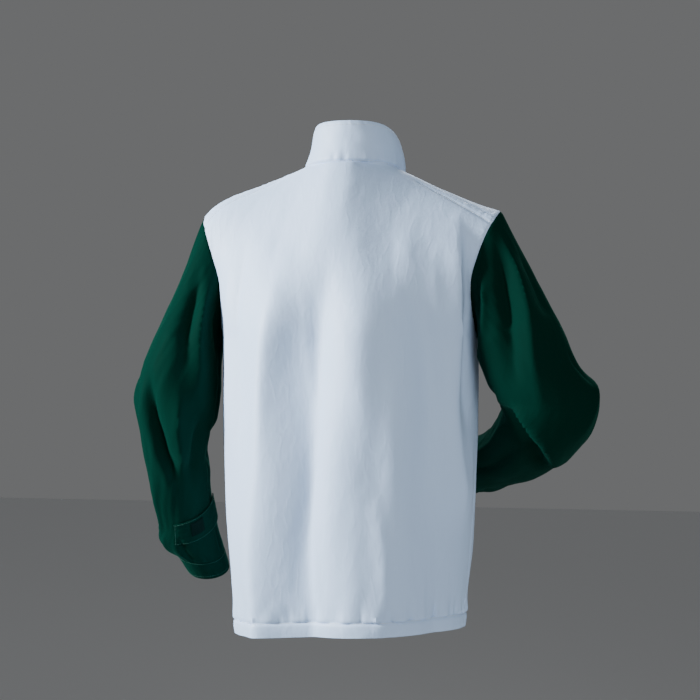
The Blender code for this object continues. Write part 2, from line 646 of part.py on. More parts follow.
def panel_walls(rows):
    """Wall thickness for each row: the turned hem is thicker."""
    return np.where(np.arange(len(rows)) < 2, HEM_WALL, WALL)[:, None]


def make_back():
    """The back panel."""
    half = BACK_NECK_COLUMNS + SHOULDER_COLUMNS
    across = np.arange(-half, half + 1) / half
    rows = panel_rows()
    points = back_point(across[None, :], rows[:, None])
    return Sheet("back_panel", points, -1.0, panel_walls(rows), WHITE)


def make_front(name, side):
    """One front panel."""
    count = FRONT_NECK_COLUMNS + SHOULDER_COLUMNS
    across = np.arange(count + 1) / count
    rows = panel_rows()
    points = front_point(across[None, :], rows[:, None], side)
    return Sheet(name, points, side, panel_walls(rows), WHITE)


def make_collar():
    """The collar, its columns on the same neck seam points as the panels."""
    back = np.linspace(0, NECK_SHOULDER_DEG, BACK_NECK_COLUMNS + 1)
    front = np.linspace(NECK_SHOULDER_DEG, NECK_FRONT_DEG, FRONT_NECK_COLUMNS + 1)[1:]
    half = np.concatenate([back, front])
    degrees = np.concatenate([-half[:0:-1], half])
    rise = np.linspace(0, 1, COLLAR_ROWS + 1)
    points = collar_point(degrees[None, :], rise[:, None])
    return Sheet("collar", points, -1.0, COLLAR_WALL, WHITE)


def sleeve_around():
    """Places round the sleeve on the same armhole points as the panels."""
    return np.arange(2 * UPPER_ROWS) / (2 * UPPER_ROWS)


def cuff_start(rows):
    """Share of the sleeve's length where its cuff is sewn on."""
    return SLEEVE_START + (1 - SLEEVE_START) * (len(rows) - 2) / (len(rows) - 1)


def make_sleeve(name, rows, folds):
    """One sleeve from the armhole to the cuff seam."""
    side = math.copysign(1.0, rows[0][1])
    along = np.linspace(0, cuff_start(rows), SLEEVE_ROWS + 1)
    points = sleeve_point(rows, folds, sleeve_around()[None, :], along[:, None])
    return Sheet(name, points, side, WALL, GREEN, closed=True)


def make_cuff(name, rows, folds):
    """One cuff band."""
    side = math.copysign(1.0, rows[0][1])
    along = np.linspace(cuff_start(rows), 1.0, CUFF_ROWS + 1)
    points = sleeve_point(rows, folds, sleeve_around()[None, :], along[:, None])
    return Sheet(name, points, side, CUFF_WALL, GREEN, closed=True)


def make_tab(name, rows, folds, tab):
    """One strap that lies over the sleeve above the cuff."""
    _, start, end, upper, lower, drop = tab
    side = math.copysign(1.0, rows[0][1])
    across = np.linspace(0, 1, TAB_COLUMNS + 1)[None, :]
    down = np.linspace(0, 1, TAB_ROWS + 1)[:, None]

    def place(across, down):
        around = start + (end - start) * across
        along = upper + (lower - upper) * down + drop * across
        return sleeve_point(rows, folds, around, along)

    normals = surface_normal(place, across, down, side)
    points = place(across, down) + normals * TAB_LIFT
    return Sheet(name, points, side, TAB_WALL, GREEN)


# ---------------------------------------------------------------- zip
def tape_line(side, beyond, rows):
    """A line down the tape, at a distance beyond the front panel's edge (negative is behind the panel)."""
    edge = front_point(np.zeros(rows.shape), rows, side)
    across = np.full(rows.shape, max(-beyond, 0.0) / FRONT_ARC)
    points = front_point(across, rows, side)

    def surface(first, second):
        return front_point(first, second, side)

    inside = np.clip(rows, TAPE_INSET, 2 - TAPE_INSET)
    normals = surface_normal(surface, across + TAPE_INSET, inside, side)
    line = points - normals * TAPE_BEHIND
    line[..., 0] = edge[..., 0] - side * beyond
    return line, normals


def collar_tape_line(side, beyond, rises):
    """The same line where the tape runs on up the collar's front end."""
    degrees = np.full(rises.shape, NECK_FRONT_DEG - math.degrees(max(-beyond, 0.0) / NECK_HALF_DEPTH))

    def surface(first, second):
        return collar_point(first, second, side)

    edge = collar_point(degrees, rises, side)
    normals = surface_normal(surface, degrees, rises, -side)
    onward = unit(collar_point(degrees + 1.0, rises, side) - edge)
    return edge + onward * max(beyond, 0.0) - normals * COLLAR_TAPE_BEHIND, normals


def make_tape(name, side):
    """One zip tape from the hem to the collar's top, its chain along the free edge."""
    rows = panel_rows()
    rows = rows[(rows > 0.0) & (rows < 2.0)]
    rows = np.concatenate([[TAPE_FOOT], rows, [TAPE_NECK]])
    rises = np.linspace(1 - TAPE_HEAD, TAPE_HEAD, COLLAR_ROWS)
    chain_edge = ZIP_EDGE_X - CHAIN_HALF_GAP
    chain_back = chain_edge - CHAIN_WIDTH
    beyond = (chain_edge, chain_back, chain_back - CHAIN_STEP, 0.0, -TAPE_UNDERLAP)
    points, normals = [], []
    for distance in beyond:
        line, line_normals = tape_line(side, distance, rows)
        end, end_normals = collar_tape_line(side, distance, rises)
        seam, _ = tape_line(side, distance, np.array([2.0]))
        seam_normal = unit(line_normals[-1] + end_normals[0])[None]
        seam = seam - seam_normal * TAPE_BEHIND * (TAPE_CORNER - 1)
        points.append(np.concatenate([line, seam, end]))
        normals.append(np.concatenate([line_normals, seam_normal, end_normals]))
    wall = np.array([CHAIN_WALL, CHAIN_WALL, TAPE_WALL, TAPE_WALL, TAPE_WALL])[None, :]
    sheet = Sheet(name, np.stack(points, axis=1), side, wall, TAPE_WHITE)
    sheet.normals = np.stack(normals, axis=1)
    return sheet


def make_box(name, low, high, colour=METAL, metallic=1.0):
    """A box-shaped object between two corners."""
    mesh = bmesh.new()
    bmesh.ops.create_cube(mesh, size=1.0)
    low, high = np.array(low), np.array(high)
    for vert in mesh.verts:
        vert.co = (low + high) / 2 + (high - low) * np.array(vert.co)
    return add_object(name, mesh, colour, roughness=0.3, metallic=metallic)


def make_bar(name, centre, radius, half_length, sides=12):
    """A round bar along X."""
    mesh = bmesh.new()
    bmesh.ops.create_cone(
        mesh, cap_ends=True, segments=sides, radius1=radius, radius2=radius, depth=2 * half_length
    )
    for vert in mesh.verts:
        x, y, z = vert.co
        vert.co = (centre[0] + z, centre[1] + x, centre[2] + y)
    return add_object(name, mesh, METAL, roughness=0.3, metallic=1.0)


def combine(base, tools, operation):
    """Join or cut with other objects, which are kept as hidden guides."""
    for number, tool in enumerate(tools):
        modifier = base.modifiers.new(f"{operation.lower()}_{number}", "BOOLEAN")
        modifier.operation = operation
        modifier.object = tool
        tool.hide_render = True
        tool.display_type = "WIRE"
    return base


def chain_at(along):
    """Middle of the chain at a place along the front, and its backward tilt there."""
    places = np.array([along - CHAIN_SPAN, along, along + CHAIN_SPAN])
    line, _ = tape_line(1.0, ZIP_EDGE_X - CHAIN_HALF_GAP, places)
    rise = line[2] - line[0]
    return np.array([0.0, line[1, 1], line[1, 2]]), math.atan2(-rise[1], rise[2])


def make_slider():
    """The slider: a plate on each side of the chain, a post between them, and lugs for the pull.

    It is drawn upright at the origin, -Y facing out, and then laid along the chain.
    """
    middle, tilt = chain_at(SLIDER_AT)
    near = CHAIN_WALL / 2 + SLIDER_CLEARANCE
    far = near + SLIDER_PLATE
    core = near + SLIDER_PLATE / 2
    half = SLIDER_LENGTH / 2
    wide = SLIDER_HALF_WIDTH
    slider = make_box("zip_slider", (-wide, -far, -half), (wide, -near, half))
    post_high = half - POST_INSET
    post_low = post_high - POST_LENGTH
    tools = [
        make_box("slider_rear_plate", (-wide, near, -half), (wide, far, half)),
        make_box("slider_post", (-POST_HALF_WIDTH, -core, post_low), (POST_HALF_WIDTH, core, post_high)),
        make_bar("slider_bar", (0, -BAR_OUT, 0), BAR_RADIUS, LUG_HALF_GAP + LUG_WIDTH / 2),
    ]
    for side in (-1, 1):
        left, right = sorted((side * LUG_HALF_GAP, side * (LUG_HALF_GAP + LUG_WIDTH)))
        low = (left, -BAR_OUT - LUG_LIP, -LUG_LENGTH / 2)
        tools.append(make_box(f"slider_lug_{side + 1}", low, (right, -core, LUG_LENGTH / 2)))
    for piece in [slider] + tools:
        piece.location = middle
        piece.rotation_euler = (tilt, 0, 0)
    return combine(slider, tools, "UNION")


def make_pull():
    """The pull tab: an eye round the slider's bar and a flat tab that hangs straight down from it."""
    middle, tilt = chain_at(SLIDER_AT)
    pivot = middle + BAR_OUT * np.array([0.0, -math.cos(tilt), -math.sin(tilt)])
    half = PULL_WALL / 2
    pull = make_bar("zip_pull", (0, 0, 0), EYE_RADIUS, PULL_NECK_HALF_WIDTH, sides=16)
    inset = PULL_NECK_HALF_WIDTH * PULL_INSET
    neck_top = -(EYE_HOLE_RADIUS + EYE_RADIUS) / 2
    neck = make_box("pull_neck", (-inset, -half, -PULL_NECK_LENGTH), (inset, half, neck_top))
    flat = half * PULL_INSET
    tab_top = PULL_LAP - PULL_NECK_LENGTH
    tab = make_box("pull_tab", (-PULL_HALF_WIDTH, -flat, -PULL_LENGTH), (PULL_HALF_WIDTH, flat, tab_top))
    hole = make_bar("pull_hole", (0, 0, 0), EYE_HOLE_RADIUS, PULL_NECK_HALF_WIDTH * 2)
    for piece in (pull, neck, tab, hole):
        piece.location = pivot
    combine(pull, [neck, tab], "UNION")
    return combine(pull, [hole], "DIFFERENCE")


def make_zip_box():
    """The retainer box at the foot of the zip."""
    middle, _ = chain_at(TAPE_FOOT)
    half = np.array([BOX_HALF_WIDTH, BOX_WALL / 2, BOX_HEIGHT / 2])
    centre = middle - np.array([0.0, 0.0, BOX_HEIGHT / 2 + BOX_GAP])
    return make_box("zip_box", centre - half, centre + half)


def main():
    """Build every piece."""
    for leftover in list(bpy.data.objects):
        bpy.data.objects.remove(leftover)
    sheets = [
        make_back(),
        make_front("front_left", 1.0),
        make_front("front_right", -1.0),
        make_collar(),
        make_sleeve("sleeve_left", LEFT_SLEEVE, LEFT_SLEEVE_FOLDS),
        make_sleeve("sleeve_right", RIGHT_SLEEVE, RIGHT_SLEEVE_FOLDS),
        make_cuff("cuff_left", LEFT_SLEEVE, LEFT_SLEEVE_FOLDS),
        make_cuff("cuff_right", RIGHT_SLEEVE, RIGHT_SLEEVE_FOLDS),
    ]
    join_seams(sheets)
    sheets += [
        make_tab("cuff_tab_left", LEFT_SLEEVE, LEFT_SLEEVE_FOLDS, CUFF_TABS[0]),
        make_tab("cuff_tab_right", RIGHT_SLEEVE, RIGHT_SLEEVE_FOLDS, CUFF_TABS[1]),
        make_tape("zip_tape_left", 1.0),
        make_tape("zip_tape_right", -1.0),
    ]
    for sheet in sheets:
        sheet.build()
    make_slider()
    make_pull()
    make_zip_box()


main()
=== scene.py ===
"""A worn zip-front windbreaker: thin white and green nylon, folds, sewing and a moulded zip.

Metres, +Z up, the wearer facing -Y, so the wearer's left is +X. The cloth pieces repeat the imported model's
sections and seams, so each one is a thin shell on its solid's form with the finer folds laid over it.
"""

import logging
import math
from collections.abc import Callable, Sequence
from dataclasses import dataclass, field
from enum import Enum
from functools import partial

import bmesh
import bpy
import numpy as np
from mathutils import Euler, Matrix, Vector


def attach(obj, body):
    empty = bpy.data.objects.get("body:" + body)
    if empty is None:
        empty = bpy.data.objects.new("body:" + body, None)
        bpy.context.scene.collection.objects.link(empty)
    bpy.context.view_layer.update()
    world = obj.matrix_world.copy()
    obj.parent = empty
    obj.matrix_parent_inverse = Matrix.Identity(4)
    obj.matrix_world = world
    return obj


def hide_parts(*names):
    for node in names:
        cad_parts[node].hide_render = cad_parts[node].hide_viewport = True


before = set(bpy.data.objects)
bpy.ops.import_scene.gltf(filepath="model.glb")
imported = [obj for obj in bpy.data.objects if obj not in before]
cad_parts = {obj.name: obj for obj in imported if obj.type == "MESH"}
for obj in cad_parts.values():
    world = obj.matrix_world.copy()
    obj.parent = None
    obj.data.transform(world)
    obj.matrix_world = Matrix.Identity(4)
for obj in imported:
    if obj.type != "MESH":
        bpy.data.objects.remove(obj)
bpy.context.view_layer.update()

LOG = logging.getLogger("windbreaker")
GARMENT = "garment"
UP = np.array([0.0, 0.0, 1.0])
SLOPE_STEP = 1e-4

Array = np.ndarray
Surface = Callable[[Array, Array], Array]


class Side(Enum):
    """The wearer's left or right, with the sign of X there."""

    LEFT = 1.0
    RIGHT = -1.0

    @property
    def word(self) -> str:
        """The side's name as the nodes spell it."""
        return self.name.lower()


class Edge(Enum):
    """An edge of a cloth grid: the axis its distance runs along, and whether it is the far end."""

    FIRST_ROW = (0, False)
    LAST_ROW = (0, True)
    FIRST_COLUMN = (1, False)
    LAST_COLUMN = (1, True)


# ---------------------------------------------------------------- small maths
def smoothstep(value: Array) -> Array:
    """Rise from 0 to 1 with level ends, for numbers clipped to 0..1."""
    value = np.clip(value, 0.0, 1.0)
    return value * value * (3.0 - 2.0 * value)


def bell(distance: Array, width: Array) -> Array:
    """A soft bump: 1 at no distance, and nearly 0 beyond twice its width."""
    return np.exp(-((distance / width) ** 2))


def unit(vectors: Array) -> Array:
    """Scale vectors along the last axis to length one."""
    return vectors / np.maximum(np.linalg.norm(vectors, axis=-1, keepdims=True), 1e-12)


def stack(x: Array, y: Array, z: Array) -> Array:
    """Join three arrays of coordinates into points along a new last axis."""
    return np.stack(np.broadcast_arrays(x, y, z), axis=-1).astype(float)


def running_length(points: Array, axis: int = 0) -> Array:
    """Measure the running length of a line, or of a grid's lines along one axis."""
    steps = np.linalg.norm(np.diff(points, axis=axis), axis=-1)
    return np.concatenate([np.zeros_like(steps.take([0], axis)), np.cumsum(steps, axis=axis)], axis=axis)


def read_line(spot: float, length: Array, line: Array) -> Array:
    """Read the point of a line at a running length."""
    return np.array([np.interp(spot, length, line[:, axis]) for axis in range(3)])


def through_rows(rows: Sequence[tuple], place: Array) -> Array:
    """Read a smooth curve through a table's rows.

    Args:
        rows: rows of a name and numbers.
        place: 0 at the first row to 1 at the last.

    Returns:
        The numbers at each place.
    """
    table = np.array([row[1:] for row in rows], dtype=float)
    table = np.vstack([2 * table[0] - table[1], table, 2 * table[-1] - table[-2]])
    spans = len(rows) - 1
    position = np.clip(np.asarray(place, dtype=float), 0.0, 1.0) * spans
    span = np.minimum(position.astype(int), spans - 1)
    share = (position - span)[..., None]
    before, start, end, after = (table[span + step] for step in range(4))
    return 0.5 * (
        2 * start
        + (end - before) * share
        + (2 * before - 5 * start + 4 * end - after) * share**2
        + (3 * start - before - 3 * end + after) * share**3
    )


def hermite(start: Array, leave: Array, end: Array, arrive: Array, share: Array) -> Array:
    """Run a cubic between two points.

    Args:
        start: first points.
        leave: directions at the start.
        end: last points.
        arrive: directions at the end.
        share: how far along, 0 to 1.

    Returns:
        Points on the cubic.
    """
    share = share[..., None]
    return (
        start * (2 * share**3 - 3 * share**2 + 1)
        + leave * (share**3 - 2 * share**2 + share)
        + end * (3 * share**2 - 2 * share**3)
        + arrive * (share**3 - share**2)
    )


def ripple(along: Array, across: Array, seed: float) -> Array:
    """Sum a few waves that never line up, for uneven small unrest in cloth.

    Args:
        along: distance one way in wave lengths.
        across: distance the other way in wave lengths.
        seed: shifts the waves.

    Returns:
        Numbers between about -1 and 1.
    """
    total = np.zeros(np.broadcast(along, across).shape)
    for step in range(5):
        turn = 0.7 + 1.9 * step + seed
        pace = 1.0 + 0.37 * step
        total = total + np.sin(
            2 * math.pi * pace * (along * math.cos(turn) + across * math.sin(turn)) + 2.3 * turn
        ) / (1 + 0.4 * step)
    return total / 3.0


def surface_normal(surface: Surface, across: Array, along: Array, outward: float) -> Array:
    """Measure a surface's unit normals.

    Args:
        surface: the surface function.
        across: first places.
        along: second places.
        outward: +1 or -1, to turn the normals out.

    Returns:
        The normals.
    """
    ahead = surface(across + SLOPE_STEP, along) - surface(across - SLOPE_STEP, along)
    up = surface(across, along + SLOPE_STEP) - surface(across, along - SLOPE_STEP)
    return unit(np.cross(ahead, up)) * outward


def graded(count: int, edge: float) -> Array:
    """Spread places over 0..1, closer together by both ends as edge nears 1."""
    even = np.linspace(0.0, 1.0, count + 1)
    return even - edge * np.sin(2 * math.pi * even) / (2 * math.pi)


# ---------------------------------------------------------------- folds
@dataclass(frozen=True)
class BodyFold:
    """A vertical fold of the body: a ridge, or a trough if its height is negative."""

    name: str
    x_top: float
    x_middle: float
    x_foot: float
    z_top: float
    z_foot: float
    left_width: float
    right_width: float
    height: float
    head: float = 0.10
    foot: float = 0.08
    wander: float = 0.003
    power: float = 1.3

    def relief(self, x: Array, z: Array) -> Array:
        """Work out the fold's height.

        Args:
            x: sideways places, in metres.
            z: heights, in metres.

        Returns:
            The height at each place.
        """
        share = np.clip((z - self.z_top) / (self.z_foot - self.z_top), 0, 1)
        line = self.x_top * (1 - share) * (1 - 2 * share) + 4 * self.x_middle * share * (1 - share)
        line = line + self.x_foot * share * (2 * share - 1)
        line = line + self.wander * np.sin(23.0 * z + 90.0 * self.x_middle)
        offset = x - line
        width = np.where(offset > 0, self.left_width, self.right_width)
        width = width * (1.0 + 0.25 * np.sin(17.0 * z + 60.0 * self.x_top))
        window = smoothstep((self.z_top - z) / self.head) * smoothstep((z - self.z_foot) / self.foot)
        return self.height * window * np.exp(-(np.abs(offset / width) ** self.power))


@dataclass(frozen=True)
class SleeveFold:
    """A fold of a sleeve, by its place round (0 underarm, 0.25 back, 0.5 outside) and along."""

    name: str
    start: float
    end: float
    first: float
    last: float
    low_width: float
    high_width: float
    height: float
    bow: float = 0.0
    fade: float = 0.36

    def relief(self, around: Array, along: Array) -> Array:
        """Work out the fold's height.

        Args:
            around: places round the sleeve.
            along: places along the sleeve.

        Returns:
            The height at each place.
        """
        share = np.clip((along - self.first) / (self.last - self.first), 0, 1)
        line = self.start + (self.end - self.start) * share + 4 * self.bow * share * (1 - share)
        offset = (around - line + 0.5) % 1.0 - 0.5
        width = np.where(offset > 0, self.high_width, self.low_width)
        reach = self.fade * (self.last - self.first)
        window = smoothstep((along - self.first) / reach) * smoothstep((self.last - along) / reach)
        power = 1.3 if self.height > 0 else 1.8
        return self.height * window * np.exp(-(np.abs(offset / width) ** power))


# ---------------------------------------------------------------- the body's form
@dataclass(frozen=True)
class BodyForm:
    """The worn shape of the body, from horizontal sections, the armholes and the neck seam."""

    hem_drop: float = 0.678
    hem_depth: float = 0.020
    hem_dip_left: float = 0.011
    hem_lift_right: float = 0.006
    hem_shift_reach: float = 0.6
    underarm_drop: float = 0.255
    side_y: float = 0.030
    neck_half_width: float = 0.073
    neck_half_depth: float = 0.079
    neck_front_drop: float = 0.062
    neck_drop_power: float = 2.1
    neck_shoulder_deg: float = 70.0
    neck_front_deg: float = 158.0
    rise_from_chest: float = 0.24
    arrive_in: float = 0.085
    arrive_up_centre: float = 0.105
    arrive_up_side: float = 0.045
    back_over_shoulder: tuple[float, float] = (-0.15, 0.055)
    front_over_shoulder: tuple[float, float] = (0.18, -0.03)
    corner_spread: float = 0.24
    corner_power: float = 3.0
    corner_turn_from: float = 0.55
    corner_turn_over: float = 0.90
    shoulder_bow_left: float = 0.024
    shoulder_bow_right: float = 0.000
    shoulder_bow_growth: float = 1.2
    shoulder_bow_round: float = 7.0
    even_columns: float = 0.875
    zip_edge_x: float = 0.0060
    zip_open_from: float = 0.42
    back_neck_share: float = 6 / 18
    front_neck_share: float = 6 / 18
    #          height  half_width back_depth front_depth
    sections: tuple = (
        ("hem", -0.678, 0.1700, 0.124, 0.120),
        ("hip", -0.600, 0.1765, 0.129, 0.124),
        ("waist", -0.490, 0.1845, 0.132, 0.127),
        ("ribs", -0.380, 0.1885, 0.133, 0.130),
        ("chest", -0.255, 0.1900, 0.131, 0.131),
    )
    #           x       y       z
    back_armhole: tuple = (
        ("underarm", 0.1900, 0.0300, -0.2550),
        ("low", 0.1880, 0.0560, -0.2180),
        ("blade", 0.1890, 0.0680, -0.1740),
        ("high", 0.1990, 0.0690, -0.1380),
        ("near_tip", 0.2110, 0.0620, -0.1050),
        ("tip", 0.2215, 0.0470, -0.0830),
    )
    front_armhole: tuple = (
        ("underarm", 0.1900, 0.0300, -0.2550),
        ("low", 0.1895, -0.0060, -0.2300),
        ("chest", 0.1920, -0.0300, -0.1850),
        ("high", 0.2040, -0.0300, -0.1350),
        ("over", 0.2180, -0.0060, -0.0920),
        ("ridge", 0.2240, 0.0220, -0.0740),
        ("tip", 0.2215, 0.0470, -0.0830),
    )
    #                   x_top   middle   foot    z_top   z_foot  left   right  height
    back_folds: tuple[BodyFold, ...] = (
        BodyFold("long_crest", 0.066, 0.093, 0.105, -0.07, -0.84, 0.030, 0.025, 0.0200, 0.20, power=1.6),
        BodyFold("long_trough", 0.000, 0.026, 0.032, -0.10, -0.84, 0.036, 0.026, -0.0175, 0.16, power=1.8),
        BodyFold(
            "centre_crest", -0.047, -0.046, -0.051, -0.06, -0.50, 0.052, 0.050, 0.0170, 0.20, 0.16, power=1.7
        ),
        BodyFold("low_crest", -0.034, -0.042, -0.048, -0.36, -0.82, 0.042, 0.034, 0.0085, 0.16, power=1.6),
        BodyFold("right_crest", -0.106, -0.095, -0.101, -0.12, -0.82, 0.030, 0.046, 0.0095, 0.30, power=1.7),
        BodyFold("side_crest", -0.168, -0.165, -0.174, -0.05, -0.54, 0.020, 0.012, 0.0170),
        BodyFold("edge_crest", 0.168, 0.161, 0.166, -0.10, -0.46, 0.012, 0.013, 0.0050),
        BodyFold("edge_trough", 0.138, 0.142, 0.143, -0.10, -0.44, 0.008, 0.009, -0.0032),
        BodyFold("thin_crest", 0.038, 0.019, 0.017, -0.15, -0.72, 0.012, 0.009, 0.0022),
        BodyFold("hip_crest", -0.065, -0.076, -0.069, -0.43, -0.74, 0.018, 0.010, 0.0036),
        BodyFold("blade_crest", -0.133, -0.148, -0.153, -0.10, -0.36, 0.014, 0.008, 0.0035),
        BodyFold("right_trough", -0.134, -0.142, -0.146, -0.16, -0.80, 0.028, 0.022, -0.0080, power=1.8),
        BodyFold("side_trough", -0.177, -0.179, -0.182, -0.17, -0.42, 0.008, 0.006, -0.0070, power=1.8),
    )
    front_folds: tuple[BodyFold, ...] = (
        BodyFold("outer_trough", 0.148, 0.152, 0.144, -0.22, -0.74, 0.016, 0.011, -0.0050),
        BodyFold("outer_ridge", 0.116, 0.122, 0.118, -0.20, -0.70, 0.012, 0.022, 0.0062),
        BodyFold("chest_trough", 0.082, 0.090, 0.086, -0.14, -0.74, 0.020, 0.012, -0.0055),
        BodyFold("inner_ridge", 0.052, 0.056, 0.060, -0.16, -0.66, 0.010, 0.018, 0.0045),
        BodyFold("zip_crease", 0.026, 0.030, 0.028, -0.30, -0.62, 0.010, 0.008, -0.0022),
        BodyFold("shoulder_drape", 0.128, 0.104, 0.092, -0.08, -0.34, 0.018, 0.012, 0.0042),
        BodyFold("hip_ridge", 0.140, 0.134, 0.130, -0.44, -0.80, 0.012, 0.016, 0.0038),
        BodyFold("low_ridge", 0.070, 0.074, 0.080, -0.50, -0.82, 0.016, 0.011, 0.0046),
        BodyFold("side_ridge", 0.172, 0.168, 0.166, -0.26, -0.62, 0.012, 0.010, 0.0046),
    )

    def neck_seam(self, degrees: Array, side: float = 1.0) -> Array:
        """Place points of the neck seam.

        Args:
            degrees: angles from centre back.
            side: +1 for the left.

        Returns:
            The points.
        """
        angle = np.radians(degrees)
        drop = self.neck_front_drop * ((1 - np.cos(angle)) / 2) ** self.neck_drop_power
        return stack(
            side * self.neck_half_width * np.sin(angle), self.neck_half_depth * np.cos(angle), -drop
        )

    def ring(self, across: Array, along: Array, front: bool) -> tuple[Array, Array]:
        """Place points round the body below the underarm.

        Args:
            across: 0 at the centre to 1 at the side seam.
            along: 0 at the hem to 1 at the underarm.
            front: true for the front half.

        Returns:
            Their x and y.
        """
        heights = np.array([row[1] for row in self.sections])
        height = -self.hem_drop + along * (self.hem_drop - self.underarm_drop)
        place = np.interp(height, heights, np.linspace(0, 1, len(heights)))
        section = through_rows(self.sections, place)
        half_width = section[..., 1]
        depth = section[..., 3] if front else section[..., 2]
        even = self.even_columns * across + (1 - self.even_columns) * across**3
        start = np.arcsin(self.zip_edge_x / half_width) if front else 0.0
        angle = start + (math.pi / 2 - start) * even
        sign = -1.0 if front else 1.0
        return half_width * np.sin(angle), self.side_y + sign * depth * np.cos(angle)

    def hem_shift(self, x: Array, along: Array) -> Array:
        """Lower the hem on the left and lift it on the right.

        Args:
            x: sideways places.
            along: 0 at the hem to 1 at the underarm.

        Returns:
            The change of height.
        """
        share = x / self.sections[0][2]
        even = 0.5 * (self.hem_dip_left + self.hem_lift_right) * share
        dip = even + 0.5 * (self.hem_dip_left - self.hem_lift_right) * share**2
        return -dip * (1 - smoothstep(along / self.hem_shift_reach))

    def armhole(self, share: Array, front: bool, side: float = 1.0) -> Array:
        """Place points of the armhole's front or back half, from the underarm to the shoulder tip."""
        curve = through_rows(self.front_armhole if front else self.back_armhole, share)
        return curve * np.array([side, 1.0, 1.0])

    def top_edge(self, across: Array, front: bool, side: float) -> tuple[Array, Array]:
        """Place points of the shoulder seam and half the neck seam.

        Args:
            across: 0 at the centre to 1 at the shoulder tip.
            front: true for a front.
            side: +1 for the left.

        Returns:
            The points, and the direction in which the cloth arrives at each.
        """
        neck_share = self.front_neck_share if front else self.back_neck_share
        far = self.neck_front_deg if front else 0.0
        on_neck = np.clip(across / neck_share, 0, 1)
        degrees = far + (self.neck_shoulder_deg - far) * on_neck
        neck = self.neck_seam(degrees, side)

        on_shoulder = np.clip((across - neck_share) / (1 - neck_share), 0, 1)[..., None]
        inner = self.neck_seam(np.full(np.shape(across), self.neck_shoulder_deg), side)
        tip = self.armhole(np.ones(np.shape(across)), front, side)
        rise = self.shoulder_bow_left if side > 0 else self.shoulder_bow_right
        bow = rise * on_shoulder**self.shoulder_bow_growth * (1 - on_shoulder**self.shoulder_bow_round)
        shoulder = inner + (tip - inner) * on_shoulder + bow * UP

        angle = np.radians(degrees)
        to_neck = stack(
            -side * np.sin(angle) * self.arrive_in,
            -np.cos(angle) * self.arrive_in,
            self.arrive_up_side + (self.arrive_up_centre - self.arrive_up_side) * np.cos(angle) ** 2,
        )
        over = self.front_over_shoulder if front else self.back_over_shoulder
        over_shoulder = stack(0.0 * across, over[0], over[1])
        turn = smoothstep((across / neck_share - self.corner_turn_from) / self.corner_turn_over)[..., None]
        arrive = to_neck * (1 - turn) + over_shoulder * turn
        return np.where((across < neck_share)[..., None], neck, shoulder), arrive

    def half_panel(self, across: Array, along: Array, front: bool, side: float) -> Array:
        """Place points of half the back, or of one front, without folds.

        Args:
            across: 0 at the centre to 1 at the side.
            along: 0 at the hem, 1 at the underarm, 2 at the top edge.
            front: true for a front.
            side: +1 for the left.

        Returns:
            The points.
        """
        across, along = np.broadcast_arrays(np.asarray(across, float), np.asarray(along, float))
        lower = np.clip(along, 0, 1)
        upper = np.clip(along - 1, 0, 1)
        x, y = self.ring(across, lower, front)
        z = -self.hem_drop + lower * (self.hem_drop - self.underarm_drop)
        below = stack(side * x, y, z + self.hem_shift(side * x, lower))

        def column(place: Array) -> Array:
            """Run the cloth from the underarm's ring up to the top edge."""
            ring_x, ring_y = self.ring(place, np.ones(np.shape(place)), front)
            foot = stack(side * ring_x, ring_y, -self.underarm_drop)
            leave = stack(0.0 * place, 0.0 * place, self.rise_from_chest)
            edge, arrive = self.top_edge(place, front, side)
            reach = np.minimum(np.minimum(place, 1 - place), self.corner_spread)
            offsets = np.linspace(-1, 1, 7)
            eased = sum(self.top_edge(place + reach * step, front, side)[0] for step in offsets) / 7
            corner = (edge - eased) * (upper**self.corner_power)[..., None]
            return hermite(foot, leave, eased, arrive, upper) + corner

        above = column(across)
        rim = np.ones(across.shape)
        above = above + (self.armhole(upper, front, side) - column(rim)) * (across**4)[..., None]
        if front:
            neck_end = self.neck_seam(self.neck_front_deg)[0]
            spread = smoothstep((upper - self.zip_open_from) / (1 - self.zip_open_from))
            wanted = side * (self.zip_edge_x + (neck_end - self.zip_edge_x) * spread)
            above[..., 0] += (wanted - column(0.0 * across)[..., 0]) * (1 - across) ** 6
        return np.where((along <= 1.0)[..., None], below, above)

    def outward(self, points: Array) -> Array:
        """Point level and out from the body's middle."""
        return unit(points * np.array([1.0, 1.0, 0.0]) - np.array([0.0, self.side_y, 0.0]))

    def back(self, across: Array, along: Array) -> Array:
        """Place points of the back with its folds.

        Args:
            across: -1 at the right side to 1 at the left.
            along: 0 at the hem to 2 at the top edge.

        Returns:
            The points.
        """
        across = np.asarray(across, float)
        right = self.half_panel(np.abs(across), along, False, -1.0)
        left = self.half_panel(np.abs(across), along, False, 1.0)
        plain = np.where((across < 0)[..., None], right, left)
        fade = smoothstep((1 - np.abs(across)) / 0.12) * smoothstep((2 - along) / 0.35)
        relief = sum(fold.relief(plain[..., 0], plain[..., 2]) for fold in self.back_folds)
        return plain + self.outward(plain) * (relief * fade)[..., None]

    def front(self, across: Array, along: Array, side: float) -> Array:
        """Place points of one front with its folds.

        Args:
            across: 0 at the zip to 1 at the side seam.
            along: 0 at the hem to 2 at the top edge.
            side: +1 for the left.

        Returns:
            The points.
        """
        plain = self.half_panel(across, along, True, side)
        fade = smoothstep((1 - across) / 0.12) * smoothstep(across / 0.12) * smoothstep((2 - along) / 0.35)
        relief = sum(fold.relief(plain[..., 0] * side, plain[..., 2]) for fold in self.front_folds)
        return plain + self.outward(plain) * (relief * fade)[..., None]


